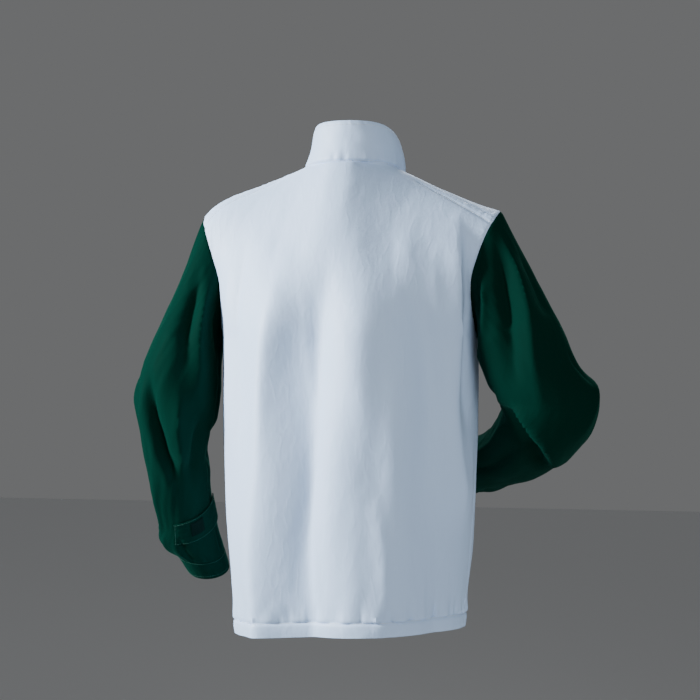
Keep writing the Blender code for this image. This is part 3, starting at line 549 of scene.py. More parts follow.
@dataclass(frozen=True)
class CollarForm:
    """The stand collar on the body's neck seam."""

    body: BodyForm
    rise_back: float = 0.0585
    top_fall: float = 0.076
    top_power: float = 1.8
    top_half_width: float = 0.0620
    top_shift: float = -0.0035
    top_half_depth: float = 0.0720
    bulge_left: float = -0.0030
    bulge_right: float = 0.0030

    def place(self, degrees: Array, rise: Array, side: float = 1.0) -> Array:
        """Place points of the collar.

        Args:
            degrees: angles from centre back.
            rise: 0 at the neck seam to 1 at the top edge.
            side: +1 for the left.

        Returns:
            The points.
        """
        degrees, rise = np.broadcast_arrays(np.asarray(degrees, float), np.asarray(rise, float))
        angle = np.radians(degrees)
        foot = self.body.neck_seam(degrees, side)
        fall = self.top_fall * ((1 - np.cos(angle)) / 2) ** self.top_power
        top = stack(
            side * self.top_half_width * np.sin(angle) + self.top_shift,
            self.top_half_depth * np.cos(angle),
            self.rise_back - fall,
        )
        out = stack(side * np.sin(angle), np.cos(angle), 0.0)
        leftness = (1 + side * np.sin(angle)) / 2
        bulge = self.bulge_right + (self.bulge_left - self.bulge_right) * leftness
        bulge = bulge * np.sin(math.pi * rise)
        return foot + (top - foot) * rise[..., None] + out * bulge[..., None]


# ---------------------------------------------------------------- the sleeves' form
#                x        y       z       half_width half_depth lean  turn
LEFT_SECTIONS = (
    ("upper", 0.2430, 0.0400, -0.2680, 0.0530, 0.0700, 33.0, 0.0),
    ("lower_arm", 0.2540, 0.0460, -0.3140, 0.0590, 0.0680, 18.0, 0.0),
    ("elbow", 0.2625, 0.0470, -0.3560, 0.0615, 0.0630, 12.0, 0.0),
    ("below", 0.2640, 0.0390, -0.3960, 0.0545, 0.0580, 8.0, 0.0),
    ("forearm", 0.2690, 0.0220, -0.4380, 0.0480, 0.0510, 0.0, 0.0),
    ("slim", 0.2715, 0.0020, -0.4850, 0.0430, 0.0470, 0.0, 0.0),
    ("tab", 0.2695, -0.0160, -0.5220, 0.0415, 0.0450, 0.0, 0.0),
    ("blouse", 0.2715, -0.0320, -0.5540, 0.0455, 0.0455, 6.0, 0.0),
    ("cuff_top", 0.2580, -0.0440, -0.5790, 0.0370, 0.0370, 12.0, 0.0),
    ("cuff_end", 0.2480, -0.0570, -0.6080, 0.0305, 0.0320, 6.0, 0.0),
)
RIGHT_SECTIONS = (
    ("upper", -0.2530, 0.0430, -0.2580, 0.0620, 0.0710, 29.0, 5.0),
    ("lower_arm", -0.2760, 0.0530, -0.3080, 0.0640, 0.0700, 16.0, 14.0),
    ("point", -0.2945, 0.0560, -0.3360, 0.0745, 0.0670, 0.0, 22.0),
    ("elbow", -0.2980, 0.0460, -0.3640, 0.0690, 0.0620, -25.0, 36.0),
    ("below", -0.2770, 0.0160, -0.3870, 0.0600, 0.0580, -48.0, 26.0),
    ("forearm", -0.2420, -0.0280, -0.4160, 0.0500, 0.0520, -60.0, 14.0),
    ("slim", -0.2050, -0.0720, -0.4330, 0.0430, 0.0470, -62.0, 12.0),
    ("blouse", -0.1680, -0.1110, -0.4470, 0.0430, 0.0440, -62.0, 12.0),
    ("cuff_top", -0.1440, -0.1340, -0.4560, 0.0365, 0.0370, -62.0, 12.0),
    ("cuff_end", -0.1180, -0.1590, -0.4660, 0.0305, 0.0320, -62.0, 12.0),
)
LEFT_FOLDS = (
    SleeveFold("arm_ridge", 0.220, 0.100, 0.04, 0.52, 0.034, 0.044, 0.0130),
    SleeveFold("arm_trough", 0.325, 0.170, 0.05, 0.47, 0.044, 0.044, -0.0120),
    SleeveFold("body_trough", 0.130, 0.010, 0.01, 0.36, 0.040, 0.030, -0.0080),
    SleeveFold("elbow_hollow", 0.350, 0.205, 0.42, 0.69, 0.044, 0.026, -0.0185),
    SleeveFold("elbow_drape", 0.190, 0.170, 0.44, 0.66, 0.030, 0.030, 0.0110),
    SleeveFold("inner_hollow", 0.080, 0.140, 0.48, 0.70, 0.040, 0.030, -0.0120),
    SleeveFold("inner_notch", 0.950, 0.960, 0.52, 0.68, 0.060, 0.060, -0.0110),
    SleeveFold("front_fold", 0.760, 0.700, 0.30, 0.60, 0.045, 0.035, -0.0070),
    SleeveFold("elbow_crease", 0.500, 0.360, 0.42, 0.52, 0.018, 0.024, -0.0050),
    SleeveFold("elbow_point", 0.520, 0.440, 0.36, 0.56, 0.030, 0.030, 0.0040),
    SleeveFold("forearm_ridge", 0.330, 0.380, 0.62, 0.86, 0.026, 0.044, 0.0055),
    SleeveFold("cuff_fold", 0.410, 0.460, 0.78, 0.93, 0.022, 0.030, -0.0058),
    SleeveFold("cuff_ridge", 0.340, 0.330, 0.80, 0.93, 0.018, 0.018, 0.0034),
    SleeveFold("cuff_fold_back", 0.240, 0.200, 0.80, 0.93, 0.022, 0.026, -0.0048),
    SleeveFold("cuff_fold_front", 0.650, 0.690, 0.78, 0.93, 0.026, 0.030, -0.0046),
)
RIGHT_FOLDS = (
    SleeveFold("arm_ridge", 0.470, 0.290, 0.01, 0.55, 0.024, 0.056, 0.0130),
    SleeveFold("arm_trough", 0.410, 0.230, 0.03, 0.50, 0.042, 0.034, -0.0140),
    SleeveFold("under_ridge", 0.290, 0.150, 0.04, 0.36, 0.028, 0.030, 0.0075),
    SleeveFold("outer_trough", 0.520, 0.430, 0.08, 0.42, 0.044, 0.036, -0.0060),
    SleeveFold("bend_tuck", 0.100, 0.040, 0.42, 0.60, 0.050, 0.050, -0.0075),
    SleeveFold("front_tuck", 0.860, 0.900, 0.40, 0.56, 0.050, 0.050, -0.0075),
    SleeveFold("low_fold", 0.560, 0.620, 0.58, 0.82, 0.045, 0.045, -0.0055),
    SleeveFold("elbow_tuck", 0.165, 0.465, 0.490, 0.670, 0.060, 0.020, -0.0130, fade=0.22),
    SleeveFold("elbow_lap", 0.200, 0.500, 0.490, 0.670, 0.012, 0.070, 0.0125, fade=0.22),
    SleeveFold("elbow_crumple", 0.480, 0.540, 0.40, 0.50, 0.014, 0.018, -0.0045),
    SleeveFold("elbow_facet", 0.560, 0.470, 0.46, 0.60, 0.030, 0.040, 0.0050),
    SleeveFold("forearm_fold", 0.300, 0.260, 0.60, 0.86, 0.030, 0.024, -0.0060),
    SleeveFold("forearm_ridge", 0.200, 0.180, 0.58, 0.84, 0.024, 0.034, 0.0050),
    SleeveFold("cuff_fold", 0.420, 0.470, 0.80, 0.93, 0.026, 0.032, -0.0050),
    SleeveFold("cuff_fold_front", 0.700, 0.740, 0.80, 0.93, 0.024, 0.030, -0.0046),
)


@dataclass(frozen=True)
class SleeveForm:
    """The worn shape of one sleeve and its cuff."""

    body: BodyForm
    side: Side
    sections: tuple
    folds: tuple[SleeveFold, ...]
    start: float = 0.36
    root: tuple[float, float, float] = (0.2050, 0.0250, -0.1700)
    underarm_standoff: float = 0.022
    underarm_level: float = 1.0
    section_step: float = 1e-3

    @property
    def cuff_start(self) -> float:
        """Share of the sleeve's length where the cuff is sewn on."""
        return self.start + (1 - self.start) * (len(self.sections) - 2) / (len(self.sections) - 1)

    def tube(self, place: Array, around: Array) -> Array:
        """Place points on the table's sections.

        Args:
            place: 0 at the first section to 1 at the last.
            around: place round the sleeve.

        Returns:
            The points.
        """
        data = through_rows(self.sections, place)
        ahead = through_rows(self.sections, place + self.section_step)
        behind = through_rows(self.sections, place - self.section_step)
        path = unit(ahead[..., :3] - behind[..., :3])
        centre, half_width, half_depth = data[..., :3], data[..., 3:4], data[..., 4:5]
        lean, turn = np.radians(data[..., 5]), np.radians(data[..., 6])
        side = self.side.value
        outer = stack(side * np.cos(lean) * np.cos(turn), np.cos(lean) * np.sin(turn), np.sin(lean))
        rear = unit(np.cross(outer, path)) * side
        angle = (2 * math.pi * around)[..., None]
        return centre - outer * half_width * np.cos(angle) + rear * half_depth * np.sin(angle)

    def middle(self, along: Array) -> Array:
        """Place points of the sleeve's centre line.

        Args:
            along: 0 at the armhole to 1 at the cuff's edge.

        Returns:
            The points.
        """
        root = np.array(self.root) * np.array([self.side.value, 1.0, 1.0])
        centre = through_rows(self.sections, np.clip((along - self.start) / (1 - self.start), 0, 1))[..., :3]
        first = np.array(self.sections[0][1:4])
        share = np.clip(along / self.start, 0, 1)[..., None]
        return np.where((along < self.start)[..., None], root + (first - root) * share, centre)

    def place(self, around: Array, along: Array) -> Array:
        """Place points of the sleeve and cuff.

        Args:
            around: 0 underarm, 0.25 back, 0.5 outside, 0.75 front.
            along: 0 at the armhole to 1 at the cuff's edge.

        Returns:
            The points.
        """
        around, along = np.broadcast_arrays(np.asarray(around, float), np.asarray(along, float))
        around = around % 1.0
        side = self.side.value
        hole = np.where(
            (around < 0.5)[..., None],
            self.body.armhole(2 * around, False, side),
            self.body.armhole(2 - 2 * around, True, side),
        )
        first = self.tube(np.zeros(around.shape), around)
        share = np.clip(along / self.start, 0, 1)
        under = np.clip(np.cos(2 * math.pi * around), 0, 1)
        cap = hole + (first - hole) * stack(share, share, share ** (1 + self.underarm_level * under))
        cap[..., 0] += side * self.underarm_standoff * under * (share**0.5 - share)
        tube = self.tube((along - self.start) / (1 - self.start), around)
        plain = np.where((along < self.start)[..., None], cap, tube)
        out = unit(plain - self.middle(along))
        relief = sum(fold.relief(around, along) for fold in self.folds)
        return plain + out * relief[..., None]


# ---------------------------------------------------------------- shader groups
class Nodes:
    """A small helper that adds and links shader nodes in one tree."""

    def __init__(self, tree: bpy.types.NodeTree) -> None:
        """Keep the tree."""
        self.tree = tree

    def plug(self, socket: bpy.types.NodeSocket, value: object) -> None:
        """Link another node's output to an input, or set the input to a number.

        Args:
            socket: the input.
            value: a socket, a number or a colour.
        """
        if isinstance(value, bpy.types.NodeSocket):
            self.tree.links.new(value, socket)
        else:
            socket.default_value = value

    def add(self, kind: str, **values: object) -> bpy.types.Node:
        """Add a node and set its sockets or attributes.

        Args:
            kind: the node's type name.
            values: attributes of the node, or numbers and sockets for its inputs, spaces written as _.

        Returns:
            The node.
        """
        node = self.tree.nodes.new(kind)
        for key, value in values.items():
            socket = node.inputs.get(key.replace("_", " ").title())
            if socket is None:
                setattr(node, key, value)
            else:
                self.plug(socket, value)
        return node

    def feed(self, node: bpy.types.Node, values: dict[str, object]) -> None:
        """Set or link a node's inputs by their names."""
        for name, value in values.items():
            self.plug(node.inputs[name], value)

    def math(self, operation: str, *inputs: object) -> bpy.types.NodeSocket:
        """Add a Math node.

        Args:
            operation: its operation.
            inputs: numbers or sockets.

        Returns:
            Its result.
        """
        node = self.tree.nodes.new("ShaderNodeMath")
        node.operation = operation
        for socket, value in zip(node.inputs, inputs):
            self.plug(socket, value)
        return node.outputs[0]

    def mix(self, factor: object, first: object, second: object) -> bpy.types.NodeSocket:
        """Mix two colours.

        Args:
            factor: a number or socket.
            first: a colour or socket.
            second: a colour or socket.

        Returns:
            The mixed colour.
        """
        node = self.tree.nodes.new("ShaderNodeMix")
        node.data_type = "RGBA"
        for number, value in ((0, factor), (6, first), (7, second)):
            self.plug(node.inputs[number], value)
        return node.outputs[2]

    def spread(self, value: bpy.types.NodeSocket, low: float, high: float) -> bpy.types.NodeSocket:
        """Map 0..1 onto a range."""
        return self.math("MULTIPLY_ADD", value, high - low, low)

    def bump(self, strength: float, depth: float, height: object, **more: object) -> bpy.types.NodeSocket:
        """Turn a height into a bumped normal."""
        node = self.add("ShaderNodeBump", strength=strength, distance=depth, height=height, **more)
        return node.outputs["Normal"]


def new_group(name: str, inputs: dict[str, object], outputs: Sequence[str]) -> tuple:
    """Start a shader node group with named sockets.

    Args:
        name: the group's name.
        inputs: socket names, each with "vector" or its default number.
        outputs: names of the value outputs.

    Returns:
        The group, its helper, its input node and its output node.
    """
    group = bpy.data.node_groups.new(name, "ShaderNodeTree")
    for label, default in inputs.items():
        kind = "NodeSocketVector" if default == "vector" else "NodeSocketFloat"
        socket = group.interface.new_socket(label, in_out="INPUT", socket_type=kind)
        if kind == "NodeSocketFloat":
            socket.default_value = default
    for label in outputs:
        group.interface.new_socket(label, in_out="OUTPUT", socket_type="NodeSocketFloat")
    nodes = Nodes(group)
    start = group.nodes.new("NodeGroupInput")
    end = group.nodes.new("NodeGroupOutput")
    return group, nodes, start, end


def plain_weave() -> bpy.types.NodeTree:
    """Build the over-and-under weave of fine threads, with uneven slubs.

    Returns:
        A group that puts out Height and Thread.
    """
    inputs = {"Place": "vector", "Threads": 2200.0, "Slub": 0.3}
    group, nodes, start, end = new_group("plain_weave", inputs, ("Height", "Thread"))
    split = nodes.add("ShaderNodeSeparateXYZ", vector=start.outputs["Place"])
    turns = nodes.math("MULTIPLY", start.outputs["Threads"], 2 * math.pi)
    warp = nodes.math("SINE", nodes.math("MULTIPLY", split.outputs["X"], turns))
    weft = nodes.math("SINE", nodes.math("MULTIPLY", split.outputs["Y"], turns))
    over = nodes.math("MULTIPLY_ADD", nodes.math("MULTIPLY", warp, weft), 0.5, 0.5)
    noise = nodes.add("ShaderNodeTexNoise", vector=start.outputs["Place"], scale=420.0, detail=2.0)
    slub = nodes.math("MULTIPLY", nodes.math("SUBTRACT", noise.outputs["Fac"], 0.5), start.outputs["Slub"])
    thread = nodes.math("MULTIPLY_ADD", warp, 0.5, 0.5)
    nodes.feed(end, {"Height": nodes.math("ADD", over, slub), "Thread": thread})
    return group


def soft_crinkle() -> bpy.types.NodeTree:
    """Build the fine, papery crinkles of thin coated cloth.

    Returns:
        A group that puts out Height and Crease.
    """
    group, nodes, start, end = new_group(
        "soft_crinkle", {"Place": "vector", "Scale": 14.0, "Stretch": 0.35}, ("Height", "Crease")
    )
    split = nodes.add("ShaderNodeSeparateXYZ", vector=start.outputs["Place"])
    longer = nodes.math("MULTIPLY", split.outputs["Y"], start.outputs["Stretch"])
    joined = nodes.add("ShaderNodeCombineXYZ", x=split.outputs["X"], y=longer, z=split.outputs["Z"])
    broad = nodes.add(
        "ShaderNodeTexNoise", vector=joined.outputs[0], scale=start.outputs["Scale"], detail=3.0,
        roughness=0.5, distortion=0.6,
    )
    finer = nodes.math("MULTIPLY", start.outputs["Scale"], 3.1)
    fine = nodes.add(
        "ShaderNodeTexNoise", vector=joined.outputs[0], scale=finer, detail=2.0, roughness=0.45
    )
    ridge = nodes.math("ABSOLUTE", nodes.math("MULTIPLY_ADD", fine.outputs["Fac"], 2.0, -1.0))
    crease = nodes.math("SUBTRACT", 1.0, nodes.math("MINIMUM", nodes.math("MULTIPLY", ridge, 5.0), 1.0))
    height = nodes.math("MULTIPLY_ADD", crease, 0.22, broad.outputs["Fac"])
    nodes.feed(end, {"Height": height, "Crease": crease})
    return group


def handling_marks() -> bpy.types.NodeTree:
    """Build broad, faint patches where cloth or metal has been handled.

    Returns:
        A group that puts out Mask.
    """
    group, nodes, start, end = new_group(
        "handling_marks", {"Place": "vector", "Scale": 6.0, "Contrast": 1.6}, ("Mask",)
    )
    noise = nodes.add(
        "ShaderNodeTexNoise", vector=start.outputs["Place"], scale=start.outputs["Scale"], detail=4.0,
        roughness=0.55,
    )
    centred = nodes.math("SUBTRACT", noise.outputs["Fac"], 0.5)
    mask = nodes.math("MULTIPLY_ADD", centred, start.outputs["Contrast"], 0.5)
    nodes.feed(end, {"Mask": nodes.add("ShaderNodeClamp", value=mask).outputs[0]})
    return group


@dataclass
class Effects:
    """The shader groups that the finishes share."""

    weave: bpy.types.NodeTree = field(default_factory=plain_weave)
    crinkle: bpy.types.NodeTree = field(default_factory=soft_crinkle)
    marks: bpy.types.NodeTree = field(default_factory=handling_marks)


Colour = tuple[float, float, float, float]


def new_material(name: str, shown: Colour) -> tuple[bpy.types.Material, Nodes, bpy.types.Node]:
    """Start a node material.

    Args:
        name: the material's name.
        shown: its colour in the viewport.

    Returns:
        The material, its helper and its Principled shader.
    """
    material = bpy.data.materials.new(name)
    material.use_nodes = True
    material.diffuse_color = shown
    nodes = Nodes(material.node_tree)
    return material, nodes, material.node_tree.nodes["Principled BSDF"]


def placed_group(nodes: Nodes, group: bpy.types.NodeTree, place: object, **values: float) -> bpy.types.Node:
    """Place a shared effect in a material.

    Args:
        nodes: the material's helper.
        group: the shared effect.
        place: the coordinates it runs on.
        values: its own numbers, by socket name in small letters.

    Returns:
        The group node.
    """
    node = nodes.tree.nodes.new("ShaderNodeGroup")
    node.node_tree = group
    nodes.tree.links.new(place, node.inputs["Place"])
    for key, value in values.items():
        node.inputs[key.title()].default_value = value
    return node


@dataclass(frozen=True)
class Finish:
    """What every finish has: a name, a colour and a way to build its material."""

    name: str
    colour: Colour

    def dimmed(self, share: float) -> Colour:
        """The colour at a share of its brightness."""
        return tuple(share * part for part in self.colour[:3]) + (1.0,)

    def inputs(self, nodes: Nodes, effects: Effects) -> dict[str, object]:
        """What feeds the shader's inputs, by their names; each kind of finish has its own."""
        return {"Base Color": self.colour}

    def build(self, effects: Effects) -> bpy.types.Material:
        """Make the material from the shared shader groups."""
        material, nodes, shader = new_material(self.name, self.colour)
        nodes.feed(shader, self.inputs(nodes, effects))
        return material


@dataclass(frozen=True)
class NylonFinish(Finish):
    """Thin woven nylon with a faint sheen."""

    hollow_colour: Colour
    roughness: tuple[float, float]
    sheen: float
    specular: float = 0.42
    sheen_tint: Colour = (1.0, 1.0, 1.0, 1.0)
    threads: float = 1500.0
    weave_depth: float = 0.00005
    crinkle_depth: float = 0.0006
    crinkle_scale: float = 16.0

    def inputs(self, nodes: Nodes, effects: Effects) -> dict[str, object]:
        """Weave, crinkles and handling marks over the cloth.

        Args:
            nodes: the material's helper.
            effects: the shared shader groups.

        Returns:
            The shader's inputs.
        """
        cloth = nodes.add("ShaderNodeUVMap", uv_map="cloth").outputs["UV"]
        weave = placed_group(nodes, effects.weave, cloth, threads=self.threads, slub=0.35)
        crinkle = placed_group(nodes, effects.crinkle, cloth, scale=self.crinkle_scale, stretch=0.4)
        marks = placed_group(nodes, effects.marks, cloth, scale=5.0, contrast=1.4).outputs["Mask"]
        shade = nodes.math("MULTIPLY", weave.outputs["Thread"], 0.35)
        shade = nodes.math("ADD", shade, nodes.math("MULTIPLY", marks, 0.45))
        broad = nodes.bump(1.0, self.crinkle_depth, crinkle.outputs["Height"])
        return {
            "Base Color": nodes.mix(shade, self.colour, self.hollow_colour),
            "Roughness": nodes.spread(marks, *self.roughness),
            "Specular IOR Level": self.specular,
            "Sheen Weight": self.sheen,
            "Sheen Roughness": 0.45,
            "Sheen Tint": self.sheen_tint,
            "Normal": nodes.bump(0.6, self.weave_depth, weave.outputs["Height"], normal=broad),
        }


@dataclass(frozen=True)
class ThreadFinish(Finish):
    """Twisted sewing thread."""

    twist: float = 2600.0

    def inputs(self, nodes: Nodes, effects: Effects) -> dict[str, object]:
        """The thread's twist and its faint marks.

        Args:
            nodes: the material's helper.
            effects: the shared shader groups.

        Returns:
            The shader's inputs.
        """
        place = nodes.add("ShaderNodeTexCoord").outputs["Object"]
        marks = placed_group(nodes, effects.marks, place, scale=90.0, contrast=1.8).outputs["Mask"]
        wave = nodes.add("ShaderNodeTexWave", vector=place, scale=self.twist / (2 * math.pi), distortion=0.4)
        return {
            "Base Color": nodes.mix(marks, self.colour, self.dimmed(0.72)),
            "Roughness": nodes.spread(marks, 0.55, 0.75),
            "Normal": nodes.bump(0.5, 0.0001, wave.outputs["Fac"]),
        }


@dataclass(frozen=True)
class TapeFinish(Finish):
    """Ribbed woven tape, as beside a zip; also the dark sheet of painted fold shade on the left tab."""

    ribs: float = 900.0
    fuzz: float = 0.25
    specular: float = 0.4

    def inputs(self, nodes: Nodes, effects: Effects) -> dict[str, object]:
        """The tape's ribs, fuzz and faint marks.

        Args:
            nodes: the material's helper.
            effects: the shared shader groups.

        Returns:
            The shader's inputs.
        """
        cloth = nodes.add("ShaderNodeUVMap", uv_map="cloth").outputs["UV"]
        weave = placed_group(nodes, effects.weave, cloth, threads=self.ribs, slub=0.6)
        marks = placed_group(nodes, effects.marks, cloth, scale=40.0, contrast=1.2).outputs["Mask"]
        return {
            "Base Color": nodes.mix(weave.outputs["Thread"], self.colour, self.dimmed(0.66)),
            "Roughness": nodes.spread(marks, 0.65, 0.9),
            "Sheen Weight": self.fuzz,
            "Specular IOR Level": self.specular,
            "Normal": nodes.bump(0.8, 0.0002, weave.outputs["Height"]),
        }


@dataclass(frozen=True)
class HardFinish(Finish):
    """Moulded plastic or plated metal of the zip."""

    metallic: float
    roughness: tuple[float, float]
    grain: float = 0.00003

    def inputs(self, nodes: Nodes, effects: Effects) -> dict[str, object]:
        """Wear and grain of a small hard piece.

        Args:
            nodes: the material's helper.
            effects: the shared shader groups.

        Returns:
            The shader's inputs.
        """
        place = nodes.add("ShaderNodeTexCoord").outputs["Object"]
        marks = placed_group(nodes, effects.marks, place, scale=260.0, contrast=2.0).outputs["Mask"]
        worn = placed_group(nodes, effects.marks, place, scale=900.0, contrast=1.4).outputs["Mask"]
        return {
            "Base Color": nodes.mix(marks, self.colour, self.dimmed(0.78)),
            "Roughness": nodes.spread(marks, *self.roughness),
            "Metallic": self.metallic,
            "Normal": nodes.bump(0.5, self.grain, worn),
        }


@dataclass(frozen=True)
class FloorFinish(Finish):
    """Matt paint with broad, faint marks."""

    def inputs(self, nodes: Nodes, effects: Effects) -> dict[str, object]:
        """Faint marks over the paint.

        Args:
            nodes: the material's helper.
            effects: the shared shader groups.

        Returns:
            The shader's inputs.
        """
        place = nodes.add("ShaderNodeTexCoord").outputs["Object"]
        marks = placed_group(nodes, effects.marks, place, scale=0.8, contrast=0.5).outputs["Mask"]
        return {"Base Color": nodes.mix(marks, self.colour, self.dimmed(0.97)), "Roughness": 0.85}


WHITE_NYLON = NylonFinish(
    "white_nylon", (0.500, 0.670, 0.930, 1.0), (0.460, 0.630, 0.895, 1.0), (0.50, 0.62), 0.05
)
WHITE_INSIDE = NylonFinish(
    "white_nylon_inside", (0.520, 0.620, 0.740, 1.0), (0.470, 0.570, 0.690, 1.0), (0.66, 0.78), 0.0, 0.25
)
GREEN_NYLON = NylonFinish(
    "green_nylon", (0.0001, 0.0190, 0.0130, 1.0), (0.0001, 0.0138, 0.0094, 1.0), (0.54, 0.64), 0.06, 0.004,
    (0.10, 0.62, 0.46, 1.0),
)
GREEN_INSIDE = NylonFinish(
    "green_nylon_inside", (0.0001, 0.0150, 0.0100, 1.0), (0.0001, 0.0110, 0.0080, 1.0), (0.65, 0.78), 0.0,
    0.10,
)
WHITE_THREAD = ThreadFinish("white_thread", (0.82, 0.85, 0.88, 1.0))
GREEN_THREAD = ThreadFinish("green_thread", (0.005, 0.082, 0.056, 1.0))
WHITE_TAPE = TapeFinish("white_zip_tape", (0.74, 0.77, 0.80, 1.0))
# painted fold shade: a dark sheet standing for the shade in the left tab's loop-like fold
FOLD_SHADE_SHEET = TapeFinish("painted_fold_shade", (0.0012, 0.0100, 0.0080, 1.0), 420.0, 0.02, 0.02)
WHITE_TOOTH = HardFinish("white_moulding", (0.78, 0.80, 0.82, 1.0), 0.0, (0.28, 0.42))
PLATED = HardFinish("plated_metal", (0.62, 0.63, 0.64, 1.0), 1.0, (0.22, 0.38))
FLOOR = FloorFinish("floor_paint", (0.86, 0.87, 0.88, 1.0))
WHITE_CLOTH = (WHITE_NYLON, WHITE_INSIDE)
GREEN_CLOTH = (GREEN_NYLON, GREEN_INSIDE)


@dataclass
class Wardrobe:
    """Every material, built once."""

    effects: Effects
    made: dict[str, bpy.types.Material] = field(default_factory=dict)

    def get(self, finish: Finish) -> bpy.types.Material:
        """Build a finish's material once.

        Args:
            finish: one of the finishes.

        Returns:
            Its material.
        """
        if finish.name not in self.made:
            self.made[finish.name] = finish.build(self.effects)
        return self.made[finish.name]


# ---------------------------------------------------------------- pieces and cloth shells
def new_object(name: str, data: bpy.types.ID) -> bpy.types.Object:
    """Put data in the scene as an object."""
    piece = bpy.data.objects.new(name, data)
    bpy.context.scene.collection.objects.link(piece)
    return piece


def new_piece(mesh: bpy.types.Mesh) -> bpy.types.Object:
    """Put a mesh in the scene as a piece that rides on the garment, and report it."""
    piece = new_object(mesh.name, mesh)
    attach(piece, GARMENT)
    LOG.info("%s: %d faces", piece.name, len(mesh.polygons))
    return piece


def cell_corners(grid: Array, axis: int) -> Array:
    """Gather the four corners of every cell of a grid on a new axis."""
    return np.stack([grid[:-1, :-1], grid[:-1, 1:], grid[1:, 1:], grid[1:, :-1]], axis=axis)


@dataclass
class Shell:
    """One piece of cloth as a grid of points, which becomes a thin closed mesh."""

    name: str
    points: Array
    outward: float
    wall: Array | float
    closed: bool = False

    def normals(self) -> Array:
        """Measure the grid's unit normals, turned out.

        Returns:
            A normal for each point.
        """
        if self.closed:
            wrapped = np.concatenate([self.points[:, -1:], self.points, self.points[:, :1]], axis=1)
            across = np.gradient(wrapped, axis=1)[:, 1:-1]
        else:
            across = np.gradient(self.points, axis=1)
        return unit(np.cross(across, np.gradient(self.points, axis=0))) * self.outward

    def raise_by(self, height: Array) -> None:
        """Push the cloth out by a height at each point."""
        self.points = self.points + self.normals() * height[..., None]

    def lengths(self) -> tuple[Array, Array]:
        """Running lengths across and along the grid, for each point."""
        return running_length(self.points, 1), running_length(self.points, 0)

    def dress(
        self, wardrobe: Wardrobe, skins: Sequence[Finish], node: str, whole: bool = True
    ) -> bpy.types.Object:
        """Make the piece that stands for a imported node.

        Args:
            wardrobe: the materials.
            skins: finishes of the outer and the inner skin.
            node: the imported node.
            whole: false where the piece only lies on the node and doesn't replace it.

        Returns:
            The object.
        """
        piece = new_piece(self.mesh(*(wardrobe.get(finish) for finish in skins)))
        if whole:
            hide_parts(node)
        return piece

    def mesh(self, outside: bpy.types.Material, inside: bpy.types.Material) -> bpy.types.Mesh:
        """Make the mesh with its two skins and rims.

        Args:
            outside: material of the outer skin and rims.
            inside: material of the inner skin.

        Returns:
            The mesh.
        """
        rows, columns = self.points.shape[:2]
        lift = self.normals() * np.broadcast_to(np.asarray(self.wall) / 2, (rows, columns))[..., None]
        count = rows * columns
        vertices = np.concatenate([(self.points + lift).reshape(-1, 3), (self.points - lift).reshape(-1, 3)])
        index = np.arange(count).reshape(rows, columns)
        if self.closed:
            index = np.concatenate([index, index[:, :1]], axis=1)
        across, along = self.lengths()
        if self.closed:
            last = np.linalg.norm(self.points[:, :1] - self.points[:, -1:], axis=-1)
            across = np.concatenate([across, across[:, -1:] + last], axis=1)
            along = np.concatenate([along, along[:, :1]], axis=1)
        level = across - across[:, [across.shape[1] // 2]]
        grid = np.stack([level, along], axis=-1)

        quads = cell_corners(index, -1).reshape(-1, 4)
        places = cell_corners(grid, -2).reshape(-1, 4, 2)
        faces = [quads, quads[:, ::-1] + count]
        uvs = [places, places[:, ::-1]]
        for line, spots, flip in self.rims(index, grid):
            start, end = line[:-1], line[1:]
            rim = np.stack([end, start, start + count, end + count], axis=-1)
            spot = np.stack([spots[1:], spots[:-1], spots[:-1], spots[1:]], axis=-2)
            faces.append(rim[:, ::-1] if flip else rim)
            uvs.append(spot[:, ::-1] if flip else spot)
        faces, uvs = np.concatenate(faces), np.concatenate(uvs)
        if self.outward < 0:
            faces, uvs = faces[:, ::-1], uvs[:, ::-1]

        mesh = bpy.data.meshes.new(self.name)
        mesh.from_pydata(vertices.tolist(), [], faces.tolist())
        mesh.uv_layers.new(name="cloth").data.foreach_set("uv", uvs.reshape(-1))
        mesh.materials.append(outside)
        mesh.materials.append(inside)
        slots = np.zeros(len(faces), dtype=np.int32)
        slots[len(quads) : 2 * len(quads)] = 1
        mesh.polygons.foreach_set("material_index", slots)
        mesh.shade_smooth()
        mesh.set_sharp_from_angle(angle=math.radians(50))
        mesh.update()
        return mesh

    def rims(self, index: Array, grid: Array) -> list[tuple[Array, Array, bool]]:
        """List the grid's open edges.

        Args:
            index: vertex numbers of the outer skin.
            grid: cloth coordinates of the same points.

        Returns:
            Vertex numbers, coordinates and whether the rim's faces turn over, for each edge.
        """
        edges = [(index[0], grid[0], False), (index[-1], grid[-1], True)]
        if not self.closed:
            edges += [(index[:, 0], grid[:, 0], True), (index[:, -1], grid[:, -1], False)]
        return edges


def relaxed(points: Array, strength: Array, rounds: int) -> Array:
    """Let a grid settle towards a smooth sheet, with its edges held.

    Args:
        points: the grid.
        strength: 0 where it is held to 1 where it is free, for each point.
        rounds: how many small steps it takes.

    Returns:
        The settled grid.
    """
    points = points.copy()
    share = 0.5 * strength[1:-1, 1:-1, None]
    for _ in range(rounds):
        sides = points[:-2, 1:-1] + points[2:, 1:-1] + points[1:-1, :-2] + points[1:-1, 2:]
        points[1:-1, 1:-1] += share * (sides / 4 - points[1:-1, 1:-1])
    return points


